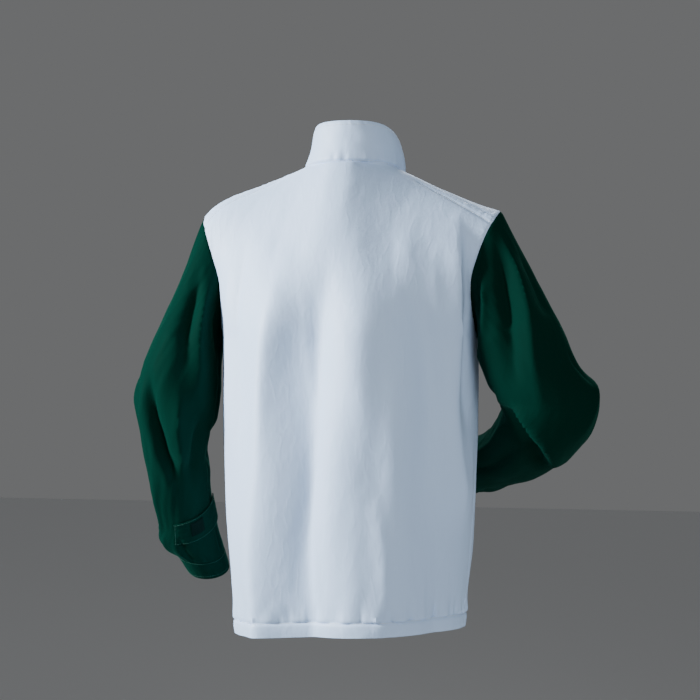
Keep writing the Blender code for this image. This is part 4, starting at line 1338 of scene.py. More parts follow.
@dataclass(frozen=True)
class Seamwork:
    """How cloth behaves beside a sewn line."""

    ditch: float = 0.0011
    ditch_width: float = 0.0022
    pucker: float = 0.0007
    pucker_reach: float = 0.012
    pucker_pitch: float = 0.013

    def relief(self, distance: Array, along: Array, seed: float) -> Array:
        """Work out the ditch at a seam and the puckers beside it.

        Args:
            distance: distance from the seam.
            along: running length along the seam.
            seed: shifts the puckers.

        Returns:
            The height at each place.
        """
        in_ditch = bell(distance, self.ditch_width)
        beat = ripple(along / self.pucker_pitch, 0.0, seed)
        strength = 0.6 + 0.4 * np.sin(along * 31.0 + seed)
        reach = self.pucker_reach * (1.0 + 0.3 * np.sin(along * 47.0 + 2 * seed))
        return self.pucker * beat * strength * bell(distance, reach) * (1 - in_ditch) - self.ditch * in_ditch


@dataclass(frozen=True)
class Unrest:
    """A layer of small uneven waves in cloth."""

    height: float
    across: float
    along: float
    seed: float = 0.0

    def relief(self, across: Array, along: Array, seed: float) -> Array:
        """Work out the waves' height from running lengths over the cloth."""
        return self.height * ripple(across / self.across, along / self.along, seed + self.seed)


# ---------------------------------------------------------------- sewing
def read_shell(shell: Shell, rows: Array, columns: Array, wall: float) -> tuple[Array, Array]:
    """Read a line of places off a shell.

    Args:
        shell: the cloth.
        rows: row numbers, whole or in between.
        columns: column numbers.
        wall: the cloth's thickness there.

    Returns:
        Points on its outer skin, and its normals.
    """
    points, normals = shell.points, shell.normals()
    if shell.closed:
        points, normals = (np.concatenate([grid, grid[:, :1]], axis=1) for grid in (points, normals))
    row = np.minimum(np.floor(rows).astype(int), points.shape[0] - 2)
    column = np.minimum(np.floor(columns).astype(int), points.shape[1] - 2)
    up, across = (rows - row)[:, None], (columns - column)[:, None]

    def between(grid: Array) -> Array:
        """Mix the four grid values round each place."""
        near = grid[row, column] * (1 - across) + grid[row, column + 1] * across
        far = grid[row + 1, column] * (1 - across) + grid[row + 1, column + 1] * across
        return near * (1 - up) + far * up

    normal = unit(between(normals))
    return between(points) + normal * wall / 2, normal


@dataclass(frozen=True)
class Stitch:
    """One kind of stitch: a short rounded run of thread."""

    length: float = 0.0026
    gap: float = 0.0008
    radius: float = 0.00028
    sides: int = 6
    sink: float = 0.00005
    flatness: float = 0.8
    #        place along  radius, as shares
    rings: tuple = ((-0.5, 0.35), (-0.3, 0.9), (0.0, 1.0), (0.3, 0.9), (0.5, 0.35))


@dataclass
class Sewing:
    """Rows of stitches that are gathered into one mesh."""

    name: str
    finish: ThreadFinish
    stitch: Stitch = Stitch()
    vertices: list[Array] = field(default_factory=list)
    faces: list[tuple[int, ...]] = field(default_factory=list)

    def beside(
        self, shell: Shell, edge: Edge, distance: float, wall: float, span: tuple[float, float] = (0.0, 1.0)
    ) -> None:
        """Sew a row beside an edge of a shell.

        Args:
            shell: the cloth.
            edge: which edge.
            distance: how far from the edge.
            wall: the cloth's thickness there.
            span: shares of the edge where the row starts and ends.
        """
        axis, from_end = edge.value
        lines = running_length(shell.points, axis)
        lines = lines if axis else lines.T
        numbers = np.arange(lines.shape[1])
        found = [np.interp(line[-1] - distance if from_end else distance, line, numbers) for line in lines]
        first, last = (round(share * len(found)) for share in span)
        found, others = np.array(found[first:last]), np.arange(first, last, dtype=float)
        if shell.closed:
            found = np.append(found, found[0])
            others = np.append(others, float(len(others)))
        rows, columns = (others, found) if axis else (found, others)
        self.row(*read_shell(shell, rows, columns, wall))

    def row(self, line: Array, normals: Array) -> None:
        """Sew one row.

        Args:
            line: points along the row, on the cloth's outer skin.
            normals: the cloth's unit normals there.
        """
        length = running_length(line)
        pitch = self.stitch.length + self.stitch.gap
        half = self.stitch.length / 2
        for start in np.arange(pitch / 2, length[-1] - pitch / 2, pitch):
            first, last = read_line(start - half, length, line), read_line(start + half, length, line)
            self.one(first, last, unit(read_line(start, length, normals)))

    def one(self, first: Array, last: Array, lift: Array) -> None:
        """Add one stitch.

        Args:
            first: its start on the skin.
            last: its end on the skin.
            lift: the cloth's unit normal.
        """
        stitch, sides = self.stitch, self.stitch.sides
        path = last - first
        side = unit(np.cross(path, lift))
        middle = (first + last) / 2 + lift * (stitch.radius - stitch.sink)
        base = len(self.vertices) * len(stitch.rings) * sides
        block = []
        for share, size in stitch.rings:
            dip = lift * stitch.radius * (2 * share) ** 4 * stitch.flatness
            for turn in range(sides):
                angle = 2 * math.pi * turn / sides
                arm = side * math.cos(angle) + lift * math.sin(angle) * stitch.flatness
                block.append(middle + path * share + arm * stitch.radius * size - dip)
        self.vertices.append(np.array(block))
        for ring in range(base, base + (len(stitch.rings) - 1) * sides, sides):
            for turn in range(sides):
                here, after = ring + turn, ring + (turn + 1) % sides
                self.faces.append((here, after, after + sides, here + sides))
        self.faces.append(tuple(base + turn for turn in reversed(range(sides))))
        self.faces.append(tuple(ring + sides + turn for turn in range(sides)))

    def build(self, wardrobe: Wardrobe, slot: str) -> None:
        """Make the mesh of every row.

        Args:
            wardrobe: the materials.
            slot: not used.
        """
        mesh = bpy.data.meshes.new(self.name)
        mesh.from_pydata(np.concatenate(self.vertices).tolist(), [], self.faces)
        mesh.materials.append(wardrobe.get(self.finish))
        mesh.shade_smooth()
        new_piece(mesh)


# ---------------------------------------------------------------- body pieces
@dataclass
class Body:
    """The back and the two fronts."""

    form: BodyForm
    seams: Seamwork = Seamwork(ditch=0.0014, pucker=0.0012, pucker_pitch=0.012)
    wall: float = 0.0016
    shoulder_row: float = 0.0130
    hem_wall: float = 0.0030
    columns: int = 128
    lower_rows: int = 104
    upper_rows: int = 84
    hem_rows: int = 12
    settle_rounds: int = 260
    unrest: tuple[Unrest, ...] = (Unrest(0.0009, 0.11, 0.30), Unrest(0.000315, 0.035, 0.09, 2.0))
    calm_top: float = 0.05
    shoulder_groove: float = 0.0011
    shoulder_groove_width: float = 0.0030
    zip_pucker: float = 0.0004
    zip_pucker_at: float = 0.010
    zip_pucker_width: float = 0.006
    zip_pitch: float = 0.016
    hem_pucker: float = 0.0042
    hem_pitch: float = 0.015
    hem_reach: float = 0.020
    hem_swell: float = 0.0006
    hem_groove: float = 0.0020

    def rows(self) -> Array:
        """Row places, closer together in the turned hem and by the top edge.

        Returns:
            Places from 0 at the hem to 2 at the top edge.
        """
        hem = self.hem_line()
        turned = np.linspace(0, hem, self.hem_rows + 1)
        lower = hem + (1 - hem) * np.linspace(0, 1, self.lower_rows + 1)[1:] ** 1.15
        upper = 1 + np.sin(np.linspace(0, math.pi / 2, self.upper_rows + 1)[1:]) ** 0.9
        return np.concatenate([turned, lower, upper])

    def by_the_neck(self, across: Array, rows: Array) -> Array:
        """Mark the cloth below the neck's corners, which settles into a rounder shape.

        Args:
            across: column places from the centre outwards.
            rows: row places.

        Returns:
            0 to 1 for each point.
        """
        wide = smoothstep((across - 0.06) / 0.12) * smoothstep((0.80 - across) / 0.25)
        high = smoothstep((rows - 1.45) / 0.25)
        return high[:, None] * wide[None, :]

    @property
    def armhole_share(self) -> float:
        """Share of the rows that lie below the underarm."""
        return (self.hem_rows + self.lower_rows) / (self.hem_rows + self.lower_rows + self.upper_rows)

    def hem_line(self) -> float:
        """Row place of the hem's stitching."""
        return self.form.hem_depth / (self.form.hem_drop - self.form.underarm_drop)

    def walls(self, rows: Array) -> Array:
        """Cloth thickness for each row: more in the turned hem."""
        share = smoothstep((rows - self.hem_line()) / 0.004)
        return (self.hem_wall + (self.wall - self.hem_wall) * share)[:, None]

    def dressed(self, shell: Shell, rows: Array, seed: float, zip_edge: bool) -> Shell:
        """Lay the hem, seams and small unrest over a panel.

        Args:
            shell: the plain panel.
            rows: its row places.
            seed: shifts the small folds.
            zip_edge: true where the first column is the zip's edge.

        Returns:
            The same shell.
        """
        across, along = shell.lengths()
        top = along[-1:] - along
        height = sum(layer.relief(across, along, seed) for layer in self.unrest)
        height = height * smoothstep(top / self.calm_top)
        near = self.zip_side(across, along, seed) if zip_edge else self.seams.relief(across, along, seed)
        height = height + near + self.seams.relief(across[:, -1:] - across, along, seed + 1.0)
        height = height + self.seams.relief(top, across, seed + 2.0)
        if not zip_edge:
            beside_neck = smoothstep((np.abs(2 * across / across[:, -1:] - 1) - 0.42) / 0.06)
            groove = bell(top - self.shoulder_row, self.shoulder_groove_width)
            height = height - self.shoulder_groove * groove * beside_neck
        height = height + self.hem(across, along, rows, seed)
        shell.raise_by(height)
        return shell

    def zip_side(self, across: Array, along: Array, seed: float) -> Array:
        """Pucker the cloth beside the zip."""
        beside = bell(across - self.zip_pucker_at, self.zip_pucker_width)
        return self.zip_pucker * ripple(along / self.zip_pitch, 0.0, seed) * beside

    def hem(self, across: Array, along: Array, rows: Array, seed: float) -> Array:
        """Pucker the cloth above the hem's stitching and swell the turned hem.

        Args:
            across: running length across the panel.
            along: running length up the panel.
            rows: row places.
            seed: shifts the puckers.

        Returns:
            The height at each place.
        """
        line = np.interp(self.hem_line(), rows, np.arange(len(rows)))
        stitched = along[int(round(line))][None, :]
        above = along - stitched
        beat = ripple(across / self.hem_pitch, 0.0, seed + 4.0)
        reach = self.hem_reach * (1.1 + 0.5 * ripple(across / 0.05, 0.0, seed))
        inner = np.clip(-above / self.form.hem_depth, 0, 1)
        swell = self.hem_swell * (1 + beat) * np.sin(math.pi * inner)
        relief = np.where(above > 0, self.hem_pucker * beat * bell(above, reach), swell)
        return relief - self.hem_groove * bell(above, self.hem_groove)

    def back(self, wardrobe: Wardrobe) -> Shell:
        """Build the back.

        Args:
            wardrobe: the materials.

        Returns:
            Its shell.
        """
        across = 2 * graded(self.columns, 0.55) - 1
        rows = self.rows()
        points = self.form.back(across[None, :], rows[:, None])
        points = relaxed(points, self.by_the_neck(np.abs(across), rows), self.settle_rounds)
        shell = self.dressed(Shell("back_cloth", points, -1.0, self.walls(rows)), rows, 0.4, False)
        piece = shell.dress(wardrobe, WHITE_CLOTH, "back_panel")
        return shell

    def front(self, side: Side, wardrobe: Wardrobe) -> Shell:
        """Build one front.

        Args:
            side: which front.
            wardrobe: the materials.

        Returns:
            Its shell.
        """
        across = graded(self.columns // 2, 0.7)
        rows = self.rows()
        points = self.form.front(across[None, :], rows[:, None], side.value)
        points = relaxed(points, self.by_the_neck(across, rows), self.settle_rounds)
        shell = Shell(f"front_cloth_{side.word}", points, side.value, self.walls(rows))
        self.dressed(shell, rows, 3.1 + side.value, True)
        piece = shell.dress(wardrobe, WHITE_CLOTH, f"front_{side.word}")
        return shell


@dataclass
class Collar:
    """The stand collar."""

    form: CollarForm
    seams: Seamwork = Seamwork(ditch=0.0024, pucker=0.0022, pucker_reach=0.009, pucker_pitch=0.010)
    wall: float = 0.0030
    columns: int = 168
    rows: int = 26
    unrest: Unrest = Unrest(0.0007, 0.06, 0.05)
    top_roll: float = 0.0012
    top_roll_width: float = 0.0022
    top_pucker: float = 0.0005
    top_pucker_at: float = 0.004
    top_pucker_width: float = 0.005
    top_pitch: float = 0.013

    def build(self, wardrobe: Wardrobe) -> Shell:
        """Build the collar.

        Args:
            wardrobe: the materials.

        Returns:
            Its shell.
        """
        end = self.form.body.neck_front_deg
        degrees = end * (2 * graded(self.columns, 0.3) - 1)
        rise = graded(self.rows, 0.6)
        points = self.form.place(degrees[None, :], rise[:, None])
        shell = Shell("collar_cloth", points, -1.0, self.wall)
        across, along = shell.lengths()
        top = along[-1:] - along
        height = self.seams.relief(along, across, 1.7) + self.unrest.relief(across, along, 0.9)
        near_top = bell(top - self.top_pucker_at, self.top_pucker_width)
        height = height + self.top_pucker * ripple(across / self.top_pitch, 0.0, 5.2) * near_top
        shell.raise_by(height - self.top_roll * bell(top, self.top_roll_width))
        piece = shell.dress(wardrobe, WHITE_CLOTH, "collar")
        return shell


# ---------------------------------------------------------------- sleeve pieces
@dataclass(frozen=True)
class TabShape:
    """The strap over a sleeve above its cuff."""

    start: float
    end: float
    upper: float
    lower: float
    drop: float
    lift: float = 0.0029
    wall: float = 0.0016


@dataclass(frozen=True)
class SleeveCut:
    """The flat sizes that a sleeve, its cuff and its tab are cut to."""

    sleeve: tuple[float, float]
    sleeve_area: float
    cuff: tuple[float, float]
    tab: tuple[float, float]


@dataclass
class Sleeve:
    """One sleeve with its cuff and tab."""

    form: SleeveForm
    tab: TabShape
    cut: SleeveCut
    seams: Seamwork = Seamwork(pucker=0.0006)
    gathers: Seamwork = Seamwork(pucker=0.0016, pucker_reach=0.016, pucker_pitch=0.017)
    wall: float = 0.0016
    girth: float = 0.42
    unrest: float = 0.0010
    under_seam: float = 0.0016
    under_seam_width: float = 0.004
    cuff_wall: float = 0.0028
    cuff_girth: float = 0.21
    cuff_rib: float = 0.0006
    cuff_groove: float = 0.0008
    cuff_groove_width: float = 0.0016
    tab_swell: float = 0.0004
    tab_wave: float = 0.0003
    patch_wall: float = 0.0012
    patch_gap: float = 0.0006
    columns: int = 120
    rows: int = 150
    cuff_rows: int = 24

    def around(self) -> Array:
        """Places round the sleeve, as shares of a turn."""
        return np.arange(self.columns)[None, :] / self.columns

    def band(self, name: str, span: tuple[float, float], rows: Array, wall: float) -> Shell:
        """Lay a closed shell over part of the sleeve's length.

        Args:
            name: what the piece is called.
            span: places along the sleeve where it starts and ends.
            rows: row places in that span, 0 to 1.
            wall: the cloth's thickness.

        Returns:
            The shell.
        """
        side = self.form.side
        points = self.form.place(self.around(), span[0] + (span[1] - span[0]) * rows[:, None])
        return Shell(f"{name}_{side.word}", points, side.value, wall, closed=True)

    def sleeve(self, wardrobe: Wardrobe) -> Shell:
        """Build the sleeve from the armhole to the cuff seam.

        Args:
            wardrobe: the materials.

        Returns:
            Its shell.
        """
        side = self.form.side
        shell = self.band("sleeve_cloth", (0.0, self.form.cuff_start), graded(self.rows, 0.55), self.wall)
        length = shell.lengths()[1].mean(axis=1, keepdims=True)
        turn = 2 * math.pi * self.around()
        x, y = 1.3 * np.cos(turn), 1.3 * np.sin(turn)
        seed = 2.0 * side.value
        fade = smoothstep(length / 0.03) * smoothstep((length[-1:] - length) / 0.02)
        height = self.unrest * ripple(x + length / 0.17, y - length / 0.21, seed) * fade
        height = height + 0.4 * self.unrest * ripple(3 * x + length / 0.05, 3 * y, seed + 1) * fade
        length, girth = np.broadcast_arrays(length, self.girth * self.around())
        height = height + self.seams.relief(length, girth, seed)
        from_seam = np.minimum(girth, self.girth - girth)
        height = height - self.under_seam * bell(from_seam, self.under_seam_width) * fade
        height = height + self.gathers.relief(length[-1:] - length, girth, seed + 3)
        shell.raise_by(height)
        piece = shell.dress(wardrobe, GREEN_CLOTH, f"sleeve_{side.word}")
        return shell

    def cuff(self, wardrobe: Wardrobe) -> Shell:
        """Build the cuff band.

        Args:
            wardrobe: the materials.

        Returns:
            Its shell.
        """
        side = self.form.side
        rows = graded(self.cuff_rows, 0.5)
        shell = self.band("cuff_cloth", (self.form.cuff_start, 1.0), rows, self.cuff_wall)
        _, length = shell.lengths()
        girth = np.broadcast_to(self.cuff_girth * self.around(), length.shape)
        rib = ripple(girth / 0.012, length / 0.05, side.value)
        height = self.seams.relief(length, girth, 1.0)
        height = height + self.cuff_rib * rib * np.sin(math.pi * np.clip(length / length[-1:], 0, 1))
        height = height - self.cuff_groove * bell(length[-1:] - length, self.cuff_groove_width)
        shell.raise_by(height)
        piece = shell.dress(wardrobe, GREEN_CLOTH, f"cuff_{side.word}")
        f"sleeve_cloth_{side.word}"
        return shell

    def tab_place(self, across: Array, down: Array) -> Array:
        """Place points of the tab's middle on the sleeve.

        Args:
            across: 0 at its sewn end to 1 at its free end.
            down: 0 at its upper edge to 1 at its lower edge.

        Returns:
            The points, still on the sleeve's middle.
        """
        around = self.tab.start + (self.tab.end - self.tab.start) * across
        along = self.tab.upper + (self.tab.lower - self.tab.upper) * down + self.tab.drop * across
        return self.form.place(around, along)

    def on_tab(self, name: str, across: Array, down: Array, lift: float, wall: float) -> Shell:
        """Lay a shell over part of the tab.

        Args:
            name: what the piece is called.
            across: column places along the tab.
            down: row places over its width.
            lift: height over the sleeve's middle.
            wall: the cloth's thickness.

        Returns:
            The shell.
        """
        side = self.form.side
        normals = surface_normal(self.tab_place, across, down, side.value)
        return Shell(f"{name}_{side.word}", self.tab_place(across, down) + normals * lift, side.value, wall)

    def strap(self, wardrobe: Wardrobe) -> Shell:
        """Build the cuff tab.

        Args:
            wardrobe: the materials.

        Returns:
            Its shell.
        """
        across, down = graded(60, 0.4)[None, :], graded(30, 0.5)[:, None]
        shell = self.on_tab("tab_cloth", across, down, self.tab.lift, self.tab.wall)
        edge = np.minimum(np.minimum(across, 1 - across) * 2.0, np.minimum(down, 1 - down))
        wave = self.tab_wave * ripple(across * 6, down * 4, 1.0)
        shell.raise_by(self.tab_swell * smoothstep(edge / 0.12) + wave)
        word = self.form.side.word
        piece = shell.dress(wardrobe, GREEN_CLOTH, f"cuff_tab_{word}")
        return shell

    def patch(self, wardrobe: Wardrobe, across: tuple[float, float], down: tuple[float, float]) -> None:
        """Lay a dark sheet on the tab: painted shade of the tab's loop-like fold.

        Args:
            wardrobe: the materials.
            across: where it starts and ends along the tab.
            down: where it starts and ends over the tab's width.
        """
        places = across[0] + (across[1] - across[0]) * graded(24, 0.3)[None, :]
        depths = down[0] + (down[1] - down[0]) * graded(20, 0.3)[:, None]
        lift = self.tab.lift + (self.tab.wall + self.patch_wall) / 2 + self.patch_gap
        shell = self.on_tab("tab_fold_shade", places, depths, lift, self.patch_wall)
        word = self.form.side.word
        piece = shell.dress(wardrobe, (FOLD_SHADE_SHEET, FOLD_SHADE_SHEET), f"cuff_tab_{word}", whole=False)
        flat = tuple(float(lengths.max()) for lengths in shell.lengths())


# ---------------------------------------------------------------- zip
@dataclass
class Zip:
    """The two tapes with their moulded teeth, the slider, its pull and the retainer box."""

    body: BodyForm
    collar: CollarForm
    tape_wall: float = 0.0008
    tape_behind: float = 0.0022
    collar_tape_behind: float = 0.0027
    corner: float = 1.30
    underlap: float = 0.0100
    tape_columns: tuple[float, ...] = (0.0012, 0.0026, 0.0040)
    tape_middle: float = 0.0040
    front_arc: float = 0.24
    foot: float = 0.022
    neck: float = 1.985
    head: float = 0.94
    inset: float = 0.002
    gap: float = 0.00025
    pitch: float = 0.0030
    tooth_width: float = 0.0036
    tooth_height: float = 0.00135
    tooth_wall: float = 0.0024
    tooth_shift: float = 0.0010

    def line(self, side: Side, beyond: float, rows: Array) -> tuple[Array, Array]:
        """Run a line down the front's edge.

        Args:
            side: which tape.
            beyond: distance past the front's edge, negative behind the front.
            rows: places along the front.

        Returns:
            Points and normals.
        """
        surface = partial(self.body.front, side=side.value)
        edge = surface(np.zeros(rows.shape), rows)
        across = np.full(rows.shape, max(-beyond, 0.0) / self.front_arc)
        points = surface(across, rows)
        inside = np.clip(rows, self.inset, 2 - self.inset)
        normals = surface_normal(surface, across + self.inset, inside, side.value)
        line = points - normals * self.tape_behind
        line[..., 0] = edge[..., 0] - side.value * beyond
        return line, normals

    def collar_line(self, side: Side, beyond: float, rises: Array) -> tuple[Array, Array]:
        """Run the same line on up the collar's front end.

        Args:
            side: which tape.
            beyond: distance past the collar's end.
            rises: places up the collar.

        Returns:
            Points and normals.
        """
        back = math.degrees(max(-beyond, 0.0) / self.body.neck_half_depth)
        degrees = np.full(rises.shape, self.body.neck_front_deg - back)
        surface = partial(self.collar.place, side=side.value)

        edge = surface(degrees, rises)
        normals = surface_normal(surface, degrees, rises, -side.value)
        onward = unit(surface(degrees + 1.0, rises) - edge)
        return edge + onward * max(beyond, 0.0) - normals * self.collar_tape_behind, normals

    def whole(self, side: Side, beyond: float) -> tuple[Array, Array]:
        """Join the front's line, the neck's corner and the collar's line.

        Args:
            side: which tape.
            beyond: distance past the edge.

        Returns:
            Points and normals from the foot to the head.
        """
        rows = np.concatenate([np.linspace(self.foot, 1.4, 110), np.linspace(1.4, self.neck, 70)[1:]])
        rises = np.linspace(1 - self.head, self.head, 20)
        line, line_normals = self.line(side, beyond, rows)
        end, end_normals = self.collar_line(side, beyond, rises)
        seam, _ = self.line(side, beyond, np.array([2.0]))
        seam_normal = unit(line_normals[-1] + end_normals[0])[None]
        seam = seam - seam_normal * self.tape_behind * (self.corner - 1)
        return np.concatenate([line, seam, end]), np.concatenate([line_normals, seam_normal, end_normals])

    def tape(self, side: Side, wardrobe: Wardrobe) -> None:
        """Build one tape.

        Args:
            side: which tape.
            wardrobe: the materials.
        """
        edge = self.body.zip_edge_x - self.gap
        places = [edge - inset for inset in self.tape_columns] + [0.0, -self.tape_middle, -self.underlap]
        columns = [self.whole(side, place)[0] for place in places]
        shell = Shell(f"zip_tape_cloth_{side.word}", np.stack(columns, axis=1), side.value, self.tape_wall)
        piece = shell.dress(wardrobe, (WHITE_TAPE, WHITE_TAPE), f"zip_tape_{side.word}")
        f"front_cloth_{side.word}"

    def teeth(self, side: Side, wardrobe: Wardrobe) -> None:
        """Build one side's moulded teeth.

        Args:
            side: which tape.
            wardrobe: the materials.
        """
        edge = self.body.zip_edge_x - self.gap
        line, normals = self.whole(side, edge - self.tooth_width / 2 + self.tooth_shift)
        length = running_length(line)
        mesh = bmesh.new()
        shift = 0.0 if side is Side.LEFT else self.pitch / 2
        for spot in np.arange(self.pitch + shift, length[-1] - self.pitch, self.pitch):
            centre, ahead = (read_line(place, length, line) for place in (spot, spot + self.pitch / 3))
            self.tooth(mesh, centre, unit(ahead - centre), unit(read_line(spot, length, normals)))
        data = bpy.data.meshes.new(f"zip_teeth_{side.word}")
        mesh.to_mesh(data)
        mesh.free()
        data.materials.append(wardrobe.get(WHITE_TOOTH))
        data.shade_smooth()
        data.set_sharp_from_angle(angle=math.radians(35))
        new_piece(data)
        f"zip_tape_{side.word}"

    def tooth(self, mesh: bmesh.types.BMesh, centre: Array, up: Array, out: Array) -> None:
        """Add one tooth: a block whose front and back faces are drawn in.

        Args:
            mesh: the mesh to add to.
            centre: the tooth's middle.
            up: unit direction along the zip.
            out: the tape's unit normal.
        """
        side = unit(np.cross(up, out)) * self.tooth_width / 2
        up, out = up * self.tooth_height / 2, out * self.tooth_wall / 2
        rings = []
        for depth, size in ((-1.0, 0.72), (-0.62, 1.0), (0.62, 1.0), (1.0, 0.72)):
            corners = ((-size, -size), (size, -size), (size, size), (-size, size))
            rings.append([mesh.verts.new(centre + out * depth + side * a + up * b) for a, b in corners])
        for lower, upper in zip(rings, rings[1:]):
            for turn in range(4):
                after = (turn + 1) % 4
                mesh.faces.new([lower[turn], lower[after], upper[after], upper[turn]])
        mesh.faces.new(rings[0][::-1])
        mesh.faces.new(rings[-1])

    def metalwork(self, wardrobe: Wardrobe) -> None:
        """Round the edges of the slider, pull and box; plate the slider and pull, and give the box the white
        moulding.
        """
        for name, width in (("zip_slider", 0.00025), ("zip_pull", 0.00022), ("zip_box", 0.0005)):
            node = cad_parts[name]
            bevel = node.modifiers.new("rounded_edges", "BEVEL")
            bevel.width = width
            bevel.segments = 2
            bevel.limit_method = "ANGLE"
            finish = WHITE_TOOTH if name == "zip_box" else PLATED
            for slot in node.material_slots:
                slot.material = wardrobe.get(finish)
            LOG.info("%s: plated", name)


# ---------------------------------------------------------------- stage
def facing(direction: Vector) -> Euler:
    """Turn that makes a lamp or camera look along a direction."""
    return direction.to_track_quat("-Z", "Y").to_euler()


@dataclass(frozen=True)
class Softbox:
    """One soft studio lamp."""

    name: str
    place: tuple[float, float, float]
    aim: tuple[float, float, float]
    size: float
    power: float
    colour: tuple[float, float, float] = (1.0, 1.0, 1.0)
    spread_deg: float = 50.0

    def build(self) -> None:
        """Make the lamp."""
        lamp = bpy.data.lights.new(self.name, "AREA")
        lamp.shape = "SQUARE"
        lamp.size = self.size
        lamp.energy = self.power
        lamp.color = self.colour
        lamp.spread = math.radians(self.spread_deg)
        piece = new_object(self.name, lamp)
        piece.location = self.place
        piece.rotation_euler = facing(Vector(self.aim) - Vector(self.place))


@dataclass(frozen=True)
class Studio:
    """The pale floor, the lamps and the camera."""

    floor_z: float = -1.45
    floor_size: float = 24.0
    sky: Colour = (0.62, 0.63, 0.64, 1.0)
    sky_strength: float = 0.24
    target: tuple[float, float, float] = (0.0, 0.0, -0.273)
    distance: float = 3.0
    azimuth: float = 195.0
    metres_per_pixel: float = 1.48e-3
    pixels: int = 700
    shift_pixels: float = -5.0
    sensor: float = 36.0
    lamps: tuple[Softbox, ...] = (
        Softbox("key_lamp", (2.95, 1.35, 0.6), (0.0, 0.0, -0.3), 0.7, 31.0),
        Softbox("fill_lamp", (-1.8, 2.9, 0.7), (0.0, 0.0, -0.25), 1.6, 6.5),
        Softbox("front_lamp", (0.7, -2.3, 2.0), (0.0, 0.0, -0.3), 1.2, 13.0),
    )

    def build(self, wardrobe: Wardrobe) -> None:
        """Make the floor, sky, lamps and camera.

        Args:
            wardrobe: the materials.
        """
        half = self.floor_size / 2
        corners = ((-half, -half), (half, -half), (half, half), (-half, half))
        mesh = bpy.data.meshes.new("floor")
        mesh.from_pydata([(x, y, self.floor_z) for x, y in corners], [], [(0, 1, 2, 3)])
        mesh.materials.append(wardrobe.get(FLOOR))
        new_object("floor", mesh)

        world = bpy.data.worlds.new("studio")
        world.use_nodes = True
        background = world.node_tree.nodes["Background"]
        background.inputs["Color"].default_value = self.sky
        background.inputs["Strength"].default_value = self.sky_strength
        bpy.context.scene.world = world
        for lamp in self.lamps:
            lamp.build()
        self.camera()

    def camera(self) -> None:
        """Make the camera at the photograph's viewing angle."""
        data = bpy.data.cameras.new("studio_camera")
        data.sensor_width = self.sensor
        data.lens = self.sensor * self.distance / (self.pixels * self.metres_per_pixel)
        data.shift_x = self.shift_pixels / self.pixels
        camera = new_object("studio_camera", data)
        angle = math.radians(self.azimuth)
        offset = self.distance * Vector((math.sin(angle), -math.cos(angle), 0.0))
        camera.location = Vector(self.target) + offset
        camera.rotation_euler = facing(-offset)
        bpy.context.scene.camera = camera


# ---------------------------------------------------------------- the whole jacket
@dataclass(frozen=True)
class Rows:
    """Distances of the visible rows of stitching from their edges."""

    zip_side: float = 0.0060
    panel_end: float = 0.0020
    collar: tuple[float, float] = (0.0016, 0.0060)
    cuff: tuple[float, float] = (0.0020, 0.0050)
    tab: float = 0.0016
    shoulders: tuple = ((0.018, 0.29), (0.708, 0.98))


ROWS = Rows()
SLEEVES = {
    Side.LEFT: (
        LEFT_SECTIONS, LEFT_FOLDS, TabShape(-0.060, 0.265, 0.739, 0.808, 0.032),
        SleeveCut((0.46, 0.55), 0.156, (0.225, 0.034), (0.100, 0.039)),
    ),
    Side.RIGHT: (
        RIGHT_SECTIONS, RIGHT_FOLDS, TabShape(-0.060, 0.265, 0.866, 0.922, 0.000),
        SleeveCut((0.50, 0.60), 0.180, (0.225, 0.038), (0.085, 0.029)),
    ),
}
# where the sheet of painted fold shade lies on the left tab: along it, then over its width
PATCH = ((0.50, 0.72), (0.14, 0.70))


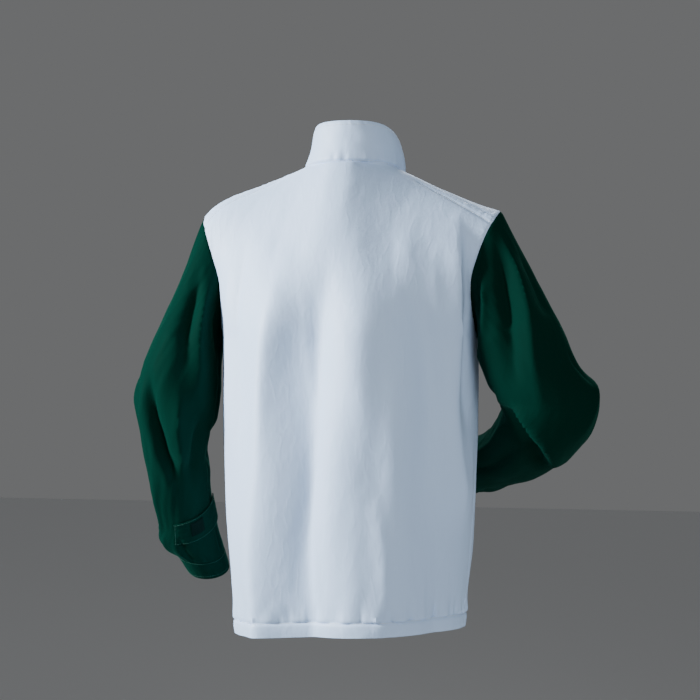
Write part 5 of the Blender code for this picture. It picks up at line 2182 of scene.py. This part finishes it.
def build_trunk(form: BodyForm, collar_form: CollarForm, wardrobe: Wardrobe) -> None:
    """Build the back, the fronts and the collar with their stitching.

    Args:
        form: the body's shape.
        collar_form: the collar's shape.
        wardrobe: the materials.
    """
    body, collar = Body(form), Collar(collar_form)
    back = body.back(wardrobe)
    fronts = [body.front(side, wardrobe) for side in Side]
    band = collar.build(wardrobe)
    armholes = (body.armhole_share, 1.0)
    sewing = Sewing("white_stitching", WHITE_THREAD)
    for panel in (back, *fronts):
        sewing.beside(panel, Edge.FIRST_ROW, form.hem_depth, body.hem_wall)
    for panel in fronts:
        sewing.beside(panel, Edge.FIRST_COLUMN, ROWS.zip_side, body.wall)
        sewing.beside(panel, Edge.LAST_COLUMN, ROWS.panel_end, body.wall, armholes)
    for edge in (Edge.FIRST_COLUMN, Edge.LAST_COLUMN):
        sewing.beside(back, edge, ROWS.panel_end, body.wall, armholes)
    for span in ROWS.shoulders:
        sewing.beside(back, Edge.LAST_ROW, body.shoulder_row, body.wall, span)
    for edge, distance in zip((Edge.FIRST_ROW, Edge.LAST_ROW), ROWS.collar):
        sewing.beside(band, edge, distance, collar.wall)
    sewing.build(wardrobe, "back_panel")


def build_sleeves(form: BodyForm, wardrobe: Wardrobe) -> None:
    """Build both sleeves, cuffs and tabs with their stitching.

    Args:
        form: the body's shape.
        wardrobe: the materials.
    """
    sewing = Sewing("green_stitching", GREEN_THREAD)
    for side, (sections, folds, tab, cut) in SLEEVES.items():
        arm = Sleeve(SleeveForm(form, side, sections, folds), tab, cut)
        arm.sleeve(wardrobe)
        cuff, strap = arm.cuff(wardrobe), arm.strap(wardrobe)
        if side is Side.LEFT:
            # the dark sheet of painted fold shade, on the left tab only
            arm.patch(wardrobe, *PATCH)
        for edge, distance in zip((Edge.FIRST_ROW, Edge.LAST_ROW), ROWS.cuff):
            sewing.beside(cuff, edge, distance, arm.cuff_wall)
        for edge in (Edge.FIRST_ROW, Edge.LAST_ROW, Edge.LAST_COLUMN):
            sewing.beside(strap, edge, ROWS.tab, tab.wall)
    sewing.build(wardrobe, "sleeve_left")


def main() -> None:
    """Build the jacket piece by piece and report each one."""
    logging.basicConfig(level=logging.INFO, format="%(name)s: %(message)s")
    wardrobe = Wardrobe(Effects())
    Studio().build(wardrobe)

    form = BodyForm()
    collar_form = CollarForm(form)
    build_trunk(form, collar_form, wardrobe)
    build_sleeves(form, wardrobe)
    closure = Zip(form, collar_form)
    for side in Side:
        closure.tape(side, wardrobe)
        closure.teeth(side, wardrobe)
    closure.metalwork(wardrobe)


if __name__ == "__main__":
    main()
